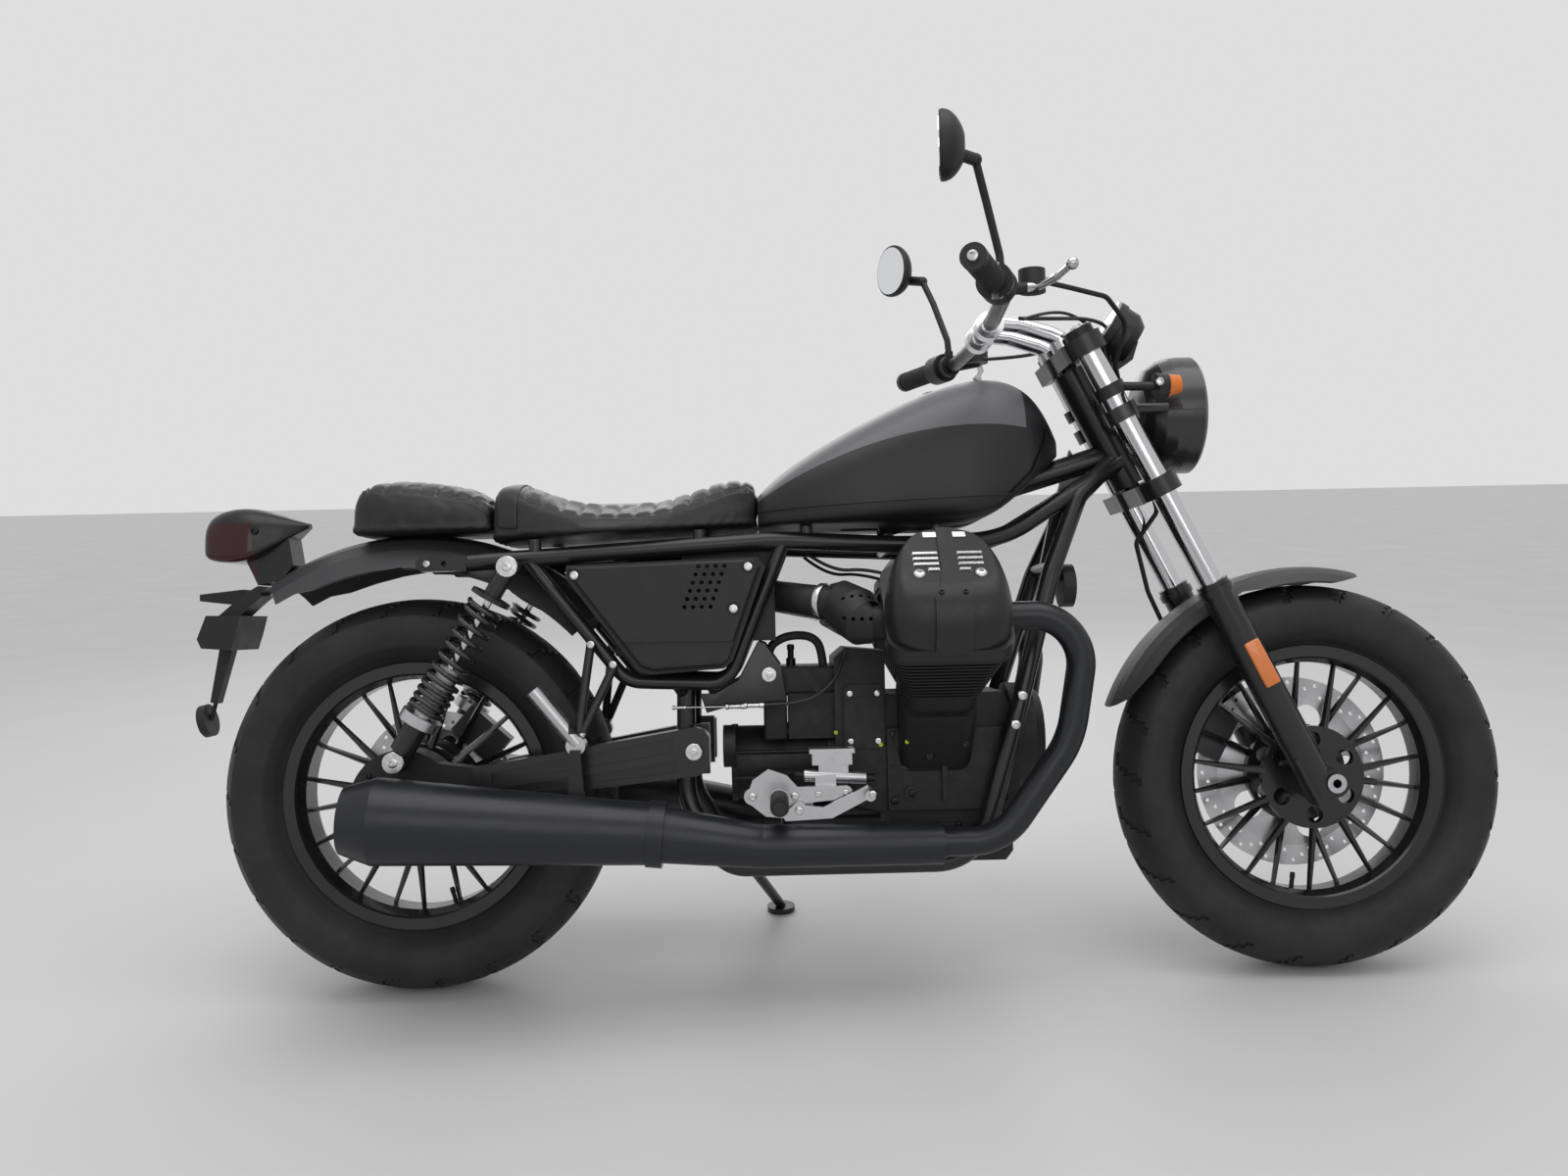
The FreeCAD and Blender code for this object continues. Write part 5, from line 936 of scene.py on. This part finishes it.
def stitches(pad, shape, name):
    """A row of thread stitches just under the side seam, laid on the leather."""
    clear_selection()
    bpy.ops.mesh.primitive_cylinder_add(vertices=6, radius=STITCH_RADIUS, depth=STITCH_LENGTH,
                                        rotation=(0, math.pi / 2, 0))
    stitch = bpy.context.object
    bpy.ops.object.transform_apply(location=False, rotation=True, scale=False)
    bpy.ops.object.mode_set(mode="EDIT")
    bpy.ops.mesh.select_all(action="SELECT")
    bpy.ops.mesh.bevel(offset=0.0003, segments=1)
    bpy.ops.object.mode_set(mode="OBJECT")
    places = []
    start = shape["top"][1][0] + 0.006
    end = shape["top"][-2][0] - 0.002
    for side in BOTH:
        count = int((end - start) / STITCH_PITCH)
        for i in range(count):
            x = start + i * STITCH_PITCH
            z = read_off(shape["top"], x) - shape["seam"] - STITCH_DROP
            rise = read_off(shape["top"], x + 0.003) - read_off(shape["top"], x - 0.003)
            hit, place, normal, face = pad.ray_cast(parked(x * 1000, side * 300, z * 1000), ACROSS * -side)
            if hit:
                turn = LEANED.to_4x4() @ Matrix.Rotation(-math.atan2(rise, 0.006), 4, "Y")
                places.append(Matrix.Translation(place + normal * 0.0001) @ turn)
    fitted(copied(stitch, places, name), thread, "chassis")


leather = Finish("leather", (0.014, 0.0135, 0.0135), 0.42, specular_ior_level=0.4)
grain = leather.node("ShaderNodeTexVoronoi", {"feature": "DISTANCE_TO_EDGE"},
                     {"Vector": leather.place(), "Scale": 620.0})
creases = leather.noise(45.0, 5.0)
leather.worn(18.0, 3.0, 0.34, 0.48)
leather.feed("Base Color", leather.blend(leather.spread(creases, 0.0, 1.0),
                                         (0.011, 0.0105, 0.0105, 1), (0.019, 0.018, 0.018, 1)))
leather.bump(grain * 0.6 + creases * 0.8, 0.0005, 0.5)
thread = Finish("thread", (0.05, 0.05, 0.05), 0.7)
thread.worn(900.0, 1.0, 0.6, 0.8)


def rider_base(x):
    return 0.726 + (x - 0.150) * 0.039


rider_pad = swollen("rider_pad", "rider_seat", 0.0055, rider_base)
sewn(rider_pad, RIDER)
fitted(rider_pad, leather, "chassis")
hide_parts("rider_seat")
pillion_pad = swollen("pillion_pad", "pillion_seat", 0.005, lambda x: PILLION_BASE)
sewn(pillion_pad, PILLION)
fitted(pillion_pad, leather, "chassis")
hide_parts("pillion_seat")
bpy.context.view_layer.update()
stitches(rider_pad, RIDER, "rider_stitches")
stitches(pillion_pad, PILLION, "pillion_stitches")


# Seat strap
# A flat leather strap across the rider's seat in front of the pillion pad. Each point is laid on the
# pad from outside, and the strap is then thickened outwards.
STRAP_FRONT = 0.186
STRAP_BACK = 0.150
STRAP_MIDDLE = 0.772            # height that the strap's turn round the seat is measured from
STRAP_ROWS = 44
STRAP_TURN = 104                # degrees down each side from its top

clear_selection()
bpy.ops.mesh.primitive_grid_add(x_subdivisions=6, y_subdivisions=STRAP_ROWS, size=1.0)
strap = bpy.context.object
for corner in strap.data.vertices:
    x = STRAP_BACK + (corner.co.x + 0.5) * (STRAP_FRONT - STRAP_BACK)
    angle = math.radians(90 - STRAP_TURN * (corner.co.y * 2))
    out = Vector((0, math.cos(angle), math.sin(angle)))
    start = PARKED @ (Vector((x, 0, STRAP_MIDDLE)) + out * 0.3)
    hit, place, normal, face = rider_pad.ray_cast(start, LEANED @ -out)
    corner.co = place + (LEANED @ out) * 0.0008 if hit else start
strap.data.update()
modified(strap, "SMOOTH", factor=0.5, iterations=3)
modified(strap, "SOLIDIFY", thickness=0.0024, offset=1.0)
modified(strap, "SUBSURF", levels=1, render_levels=1)
bpy.ops.object.mode_set(mode="EDIT")
faced_out()
bpy.ops.object.shade_smooth()
strap.name = "seat_strap"
fitted(strap, leather, "chassis")


# Lamps
# A black bucket with a clear front glass, bullet indicators with amber ends, a black tail lamp with
# a dark red lens, a round red reflector on the plate holder and an amber one on each fork leg.
LAMP_HEIGHT = 922.0
LENS_RED = (0.13, 0.004, 0.006, 1)
LENS_SMOKED = (0.028, 0.004, 0.005, 1)
LENS_AMBER = (0.62, 0.16, 0.02, 1)
GLASS = [(0.0835, 0.0), (0.0835, 0.0014), (0.0820, 0.0028), (0.066, 0.0062), (0.044, 0.0092),
         (0.022, 0.0108), (0.008, 0.0113)]
REFLECTOR = [(0.0235, 0.0), (0.0235, 0.0022), (0.0222, 0.0032), (0.012, 0.0040), (0.004, 0.0042)]

lamp_black = Finish("lamp_black", (0.014, 0.014, 0.015), 0.3, coat_weight=0.3, coat_roughness=0.15)
lamp_black.worn(16.0, 3.0, 0.24, 0.36)
lamp_black.grained(900.0, 1.0, 0.0001, 0.25)
dusted(lamp_black, 30.0, 0.12)
paint_node("headlamp", lamp_black)

head_glass = Finish("head_glass", (0.5, 0.51, 0.53), 0.08, 0.75, coat_weight=1.0, coat_roughness=0.02)
x, y, z = upright(head_glass)
flutes = head_glass.sum("PINGPONG", y, 0.006)
head_glass.worn(20.0, 2.0, 0.06, 0.12)
head_glass.bump(flutes, 0.002, 0.35)
turned_copies("head_glass", GLASS, [stood(parked(1294.6, 0, LAMP_HEIGHT), X_WAY)], head_glass, "steering",
              48, 60.0)

two_toned("front_signals", "signal_black", BLACK, LENS_AMBER,
          lambda x, y, z: (x > 1.213) * (y.size() > 0.118), (0.35, 0.12), (0.0, 0.0))
two_toned("tail_lamp", "tail_black", BLACK, LENS_SMOKED,
          lambda x, y, z: (x < -0.262) * (z < 0.7685), (0.3, 0.08), (0.0, 0.0))
side_screws("signal_screws", "steering", [("front_signals", BOTH, 1194, 950, 1.0)], zinc)
side_screws("tail_screws", "chassis", [("tail_lamp", BOTH, -258, 756, 1.0)], dark_zinc)


def lens(name, colour, roughness, low, high):
    """A moulded lens with small prisms in it, its roughness wandering from low to high."""
    finish = Finish(name, colour[:3], roughness, coat_weight=1.0, coat_roughness=0.04)
    prisms = finish.node("ShaderNodeTexVoronoi", inputs={"Vector": finish.place(), "Scale": 420.0})
    finish.worn(60.0, 2.0, low, high)
    finish.bump(prisms, 0.0008, 0.5)
    return finish


red_lens = lens("red_lens", LENS_RED, 0.1, 0.08, 0.16)
hit, place, normal, face = frame["nodes"]["plate_holder"].ray_cast(parked(-700, 6, 446), X_WAY)
turned_copies("rear_reflector", REFLECTOR, [stood(place + normal * 0.0003, -X_WAY)], red_lens, "chassis",
              36)

amber_lens = lens("amber_lens", LENS_AMBER, 0.12, 0.1, 0.2)
FORK_RAKE = math.radians(26.4)
reflectors = []
for side in BOTH:
    bar = rounded_bar((0.026, 0.008, 0.078), 0.0035, 4)
    bpy.ops.object.shade_smooth_by_angle(angle=math.radians(40))
    at = touched("fork_sliders", parked(1354, side * 300, 508), ACROSS * -side)
    bar.data.transform(Matrix.Translation(at + ACROSS * side * 0.001) @ LEANED.to_4x4()
                       @ Matrix.Rotation(-FORK_RAKE, 4, "Y"))
    reflectors.append(bar)
fitted(joined(reflectors, "fork_reflectors"), amber_lens, "steering")


# Instrument
# A round dial with plain ticks and one needle under a clear coat; the gauge's own finish gives the
# bright ring round it.
DIAL_CENTRE = parked(DIAL_X * 1000, 0, DIAL_Z * 1000)
DIAL_WAY = (LEANED @ Vector((-DIAL_BACK, 0, DIAL_UP))).normalized()

dial_face = Finish("dial_face", (0.02, 0.02, 0.022), 0.3, coat_weight=1.0, coat_roughness=0.03)
x, y, z = upright(dial_face)
rise = (x - DIAL_X) * DIAL_UP + (z - DIAL_Z) * DIAL_BACK
radius = dial_face.sum("SQRT", y * y + rise * rise)
turn = dial_face.sum("ARCTAN2", y, rise) * (1 / (2 * math.pi)) + 0.5
lower = dial_face.sum("ABSOLUTE", turn - 0.5) < 0.37
fine_ticks = (dial_face.sum("FRACT", turn * 60.0 + 0.1) < 0.2) * radius.between(0.0365, 0.0400) * lower
ticks = (dial_face.sum("FRACT", turn * 12.0 + 0.04) < 0.08) * radius.between(0.0330, 0.0400) * lower
needle = (y * 0.8 + rise * 0.6).size().between(-1.0, 0.0008) * (y * 0.6 - rise * 0.8).between(-0.004, 0.030)
hub = radius < 0.0050
marks = dial_face.sum("MAXIMUM", dial_face.sum("MAXIMUM", fine_ticks, ticks), needle)
dial_face.feed("Base Color", dial_face.blend(dial_face.sum("MAXIMUM", marks, hub * 0.3), dial_face.colour,
                                             (0.75, 0.75, 0.74, 1)))
dial_face.worn(80.0, 2.0, 0.24, 0.36)
turned_copies("dial", [(0.0435, 0.0), (0.0435, 0.0012), (0.0430, 0.0016)],
              [stood(DIAL_CENTRE - DIAL_WAY * 0.0024, DIAL_WAY)], dial_face, "steering", 48)


# Mirrors
# Silvered glass set in each head's rear face: the outline of the head a little smaller, rounded and
# thickened. The two heads are turned in unequally, as in the photograph.
MIRROR_RING = [(0, 55), (26, 48), (46, 24), (50, -8), (39, -36), (14, -50), (-14, -48), (-36, -31), (-44, -2),
               (-38, 26), (-22, 48)]
MIRROR_SETS = {1: (34.0, 828, 336, 1271), -1: (8.0, 835, -336, 1258)}

glass = Finish("mirror_glass", (0.82, 0.83, 0.84), 0.03, 1.0)
glass.worn(12.0, 2.0, 0.02, 0.05)
glasses = []
for side in BOTH:
    angle, x, y, z = MIRROR_SETS[side]
    turn = math.radians(angle)
    ahead = Vector((math.cos(turn), side * math.sin(turn), 0))
    aside = ahead.cross(Vector((0, 0, 1)))
    clear_selection()
    bpy.ops.mesh.primitive_circle_add(vertices=len(MIRROR_RING), radius=0.05, fill_type="NGON")
    pane = bpy.context.object
    for corner, (across, up) in zip(pane.data.vertices, MIRROR_RING):
        corner.co = (Vector((x, y, z)) + (aside * across + Vector((0, 0, 1)) * up) * 0.9 - ahead * 0.7) / 1000
    modified(pane, "SUBSURF", levels=3, render_levels=3)
    modified(pane, "SOLIDIFY", thickness=0.0016, offset=0.0)
    bpy.ops.object.mode_set(mode="EDIT")
    faced_out()
    bpy.ops.object.shade_smooth_by_angle(angle=math.radians(30))
    pane.data.transform(PARKED)
    glasses.append(pane)
fitted(joined(glasses, "mirror_glasses"), glass, "steering")


# Grips and bar ends
# Ribbed rubber sleeves on the grips, and a bright screw in each bar end. The sleeve is turned up
# from the grip's end, rib by rib.
GRIP_END = Vector((867.0, 424.0, 1072.0))
GRIP_WAY = (Vector((939.5, 250.0, 1069.5)) - GRIP_END).normalized()

sleeve = [(0.0171, 0.0)]
for i in range(12):
    low = 0.003 + i * 0.0088
    sleeve += [(0.0171, low), (0.0186, low + 0.0012), (0.0186, low + 0.0050), (0.0171, low + 0.0062)]
sleeve.append((0.0171, 0.1085))
places = []
ends = []
for side in BOTH:
    way = Vector((GRIP_WAY.x, GRIP_WAY.y * side, GRIP_WAY.z))
    way = (LEANED @ way).normalized()
    end = parked(GRIP_END.x, GRIP_END.y * side, GRIP_END.z)
    places.append(stood(end + way * 0.002, way))
    ends.append(stood(end - way * 0.0116, -way) @ Matrix.Scale(1.3, 4))
turned_copies("grip_ribs", sleeve, places, rubber, "steering", 24)
turned_copies("bar_screws", SCREW, ends, zinc, "steering")


# Fork caps
# A bright ring and a hexagon on the top of each fork tube, placed along the steering axis's slope
# from where that axis meets the floor.
STEERING_FOOT_X = 1590.1
LEG_AHEAD = 12.0
LEG_Y = 98.0
CAP_TOP = 1165.0


def steering_place(ahead, y, along):
    """A place given ahead of the steering axis, across, and along it from the floor."""
    return parked(STEERING_FOOT_X - along * math.sin(FORK_RAKE) + ahead * math.cos(FORK_RAKE), y,
                  along * math.cos(FORK_RAKE) + ahead * math.sin(FORK_RAKE))


FORK_WAY = (LEANED @ Vector((-math.sin(FORK_RAKE), 0, math.cos(FORK_RAKE)))).normalized()
tops = [stood(steering_place(LEG_AHEAD, side * LEG_Y, CAP_TOP - 0.4), FORK_WAY) for side in BOTH]
rings = copied(turned_up("cap_rings", [(0.0178, 0.0), (0.0178, 0.0022), (0.0168, 0.0030), (0.0128, 0.0030),
                                       (0.0120, 0.0012)], 36), tops, "cap_rings")
hexes = copied(turned_up("cap_hexes", [(0.0094, 0.0), (0.0094, 0.0062), (0.0084, 0.0072), (0.0050, 0.0072),
                                       (0.0046, 0.0040)], 6, 20.0), tops, "cap_hexes")
fitted(joined([rings, hexes], "fork_caps"), zinc, "steering")


# Cables and leads
# Black-sheathed cables with bright ferrules, and a rubber hose. They stand for held cables, but their
# routes are simplified, and several ends stop short of what would hold them.
sheath = Finish("sheath", (0.013, 0.013, 0.014), 0.4)
sheath.worn(120.0, 3.0, 0.34, 0.5)
sheath.grained(700.0, 2.0, 0.0001, 0.3)


def cables(name, body, runs, finish):
    """Several held cables as one piece: (radius, the points of its run, in millimetres)."""
    made = [tube_along(name, [parked(*point) for point in points], radius / 1000) for radius, points in runs]
    fitted(joined(made, name), finish, body)


cables("bar_cables", "steering",
       [(3.2, [(980, -150, 1056), (1048, -120, 1062), (1106, -80, 1071), (1150, -40, 1068), (1160, -26, 1030),
               (1150, -10, 975)]),
        (2.6, [(984, -160, 1052), (1030, -112, 1076), (1085, -84, 1078), (1140, -52, 1040),
               (1146, -40, 1000)]),
        (3.2, [(975, 150, 1056), (1040, 110, 1050), (1098, 64, 1058), (1146, 34, 1040), (1150, 14, 985)]),
        (4.0, [(1152, 20, 1010), (1124, 30, 940), (1150, 44, 880), (1192, 30, 900)]),
        (4.0, [(1150, -24, 1006), (1126, -40, 940), (1148, -48, 880), (1194, -34, 905)])], sheath)
cables("clutch_cable", "chassis",
       [(2.6, [(536, -112, 458), (567, -112, 459), (603, -112, 459), (644, -110, 466), (670, -108, 485),
               (686, -104, 505), (694, -98, 528), (698, -84, 545)])], sheath)
cables("clutch_wire", "chassis", [(1.1, [(428, -112, 457), (452, -112, 457), (512, -112, 457)])], zinc)
FERRULE = [(0.0034, 0.0), (0.0048, 0.0008), (0.0048, 0.005), (0.0036, 0.0062), (0.0036, 0.0240),
           (0.0044, 0.0250), (0.0044, 0.0320), (0.0030, 0.0334)]
places = [stood(parked(506, -112, 457), X_WAY), stood(parked(535, -112, 458), X_WAY),
          stood(parked(422, -112, 457), X_WAY) @ Matrix.Scale(0.7, 4)]
turned_copies("ferrules", FERRULE, places, zinc, "chassis", 14)
cables("breather_hose", "chassis",
       [(7.0, [(574, -60, 512), (574, -60, 546), (596, -60, 563), (622, -60, 568), (648, -60, 564),
               (662, -60, 546), (664, -60, 512)])], rubber)
leads = []
for side in BOTH:
    leads.append((3.6, [(872, side * 168, 590), (884, side * 140, 632), (872, side * 90, 664),
                        (850, side * 40, 690)]))
    leads.append((2.8, [(640, side * 66, 700), (680, side * 84, 668), (740, side * 92, 672),
                        (790, side * 90, 655)]))
cables("engine_leads", "chassis", leads, sheath)


# Engine fittings
# The gearbox's rear lid with its breather, a sheet steel gusset each side of the swingarm's pivot,
# and the horn's pressed face.
def cut_plate(corners, near, far, rounding):
    """A plate cut to an outline in x and z, from one y to another, in millimetres, with eased edges."""
    drawn_line([(x / 1000, near / 1000, z / 1000) for x, z in corners])
    bpy.ops.mesh.select_all(action="SELECT")
    bpy.ops.mesh.edge_face_add()
    bpy.ops.mesh.select_all(action="SELECT")
    bpy.ops.mesh.extrude_region_move(TRANSFORM_OT_translate={"value": (0, (far - near) / 1000, 0)})
    faced_out()
    plate = bpy.context.object
    modified(plate, "BEVEL", width=rounding / 1000, segments=3, limit_method="ANGLE")
    bpy.ops.object.shade_smooth_by_angle(angle=math.radians(35))
    plate.data.transform(PARKED)
    return plate


LID = [(566, 398), (566, 502), (578, 517), (690, 517), (690, 474), (604, 474), (604, 398)]
lid = cut_plate(LID, -74, 74, 5.0)
lid.name = "gearbox_lid"
fitted(lid, wrinkle_black, "chassis")
BREATHER = [(0.008, 0.0), (0.008, 0.012), (0.0052, 0.014), (0.0052, 0.026), (0.0062, 0.028),
            (0.0062, 0.034), (0.004, 0.036)]
turned_copies("breather", BREATHER, [stood(parked(612, -30, 516.5), LEANED @ Vector((0, 0, 1)))], dark_zinc,
              "chassis", 18)
GUSSET = [(490, 478), (526, 498), (559, 559), (570, 556), (596, 518), (603, 462), (510, 456), (476, 447),
          (466, 478)]
gussets = [cut_plate(GUSSET, side * 100, side * 104, 1.2) for side in BOTH]
fitted(joined(gussets, "pivot_gussets"), satin_black, "chassis")
places = [stood(parked(576, side * 103.8, 506), ACROSS * side) @ Matrix.Scale(0.72, 4) for side in BOTH]
turned_copies("gusset_bolts", WASHER, places, zinc, "chassis", 28)

HORN_FACE = [(0.0335, 0.0), (0.0335, 0.0012), (0.0310, 0.0024), (0.0265, 0.0010), (0.0225, 0.0026),
             (0.0170, 0.0012), (0.0105, 0.0028), (0.0060, 0.0028), (0.0052, 0.0050), (0.0030, 0.0054)]
turned_copies("horn_face", HORN_FACE, [stood(parked(1085.6, 0, 640), X_WAY)], dark_alloy, "chassis",
              40)


# Valve stems
# A short rubber stem out of each rim, pointing at the wheel's centre. The angle is where on the rim
# the stem stands.
STEM = [(0.0060, 0.0), (0.0048, 0.006), (0.0038, 0.010), (0.0036, 0.026), (0.0042, 0.0265), (0.0042, 0.034),
        (0.0034, 0.036)]
STEM_RADIUS = 200.0
for name, body, centre, angle in (("front_valve", "front_wheel_set", FRONT_CENTRE, -98),
                                  ("rear_valve", "rear_wheel_set", REAR_CENTRE, -75)):
    out = Vector((math.cos(math.radians(angle)), 0, math.sin(math.radians(angle))))
    at = centre * 1000 + out * STEM_RADIUS
    turned_copies(name, STEM, [stood(parked(at.x, at.y, at.z), (LEANED @ -out).normalized())], rubber, body,
                  14)
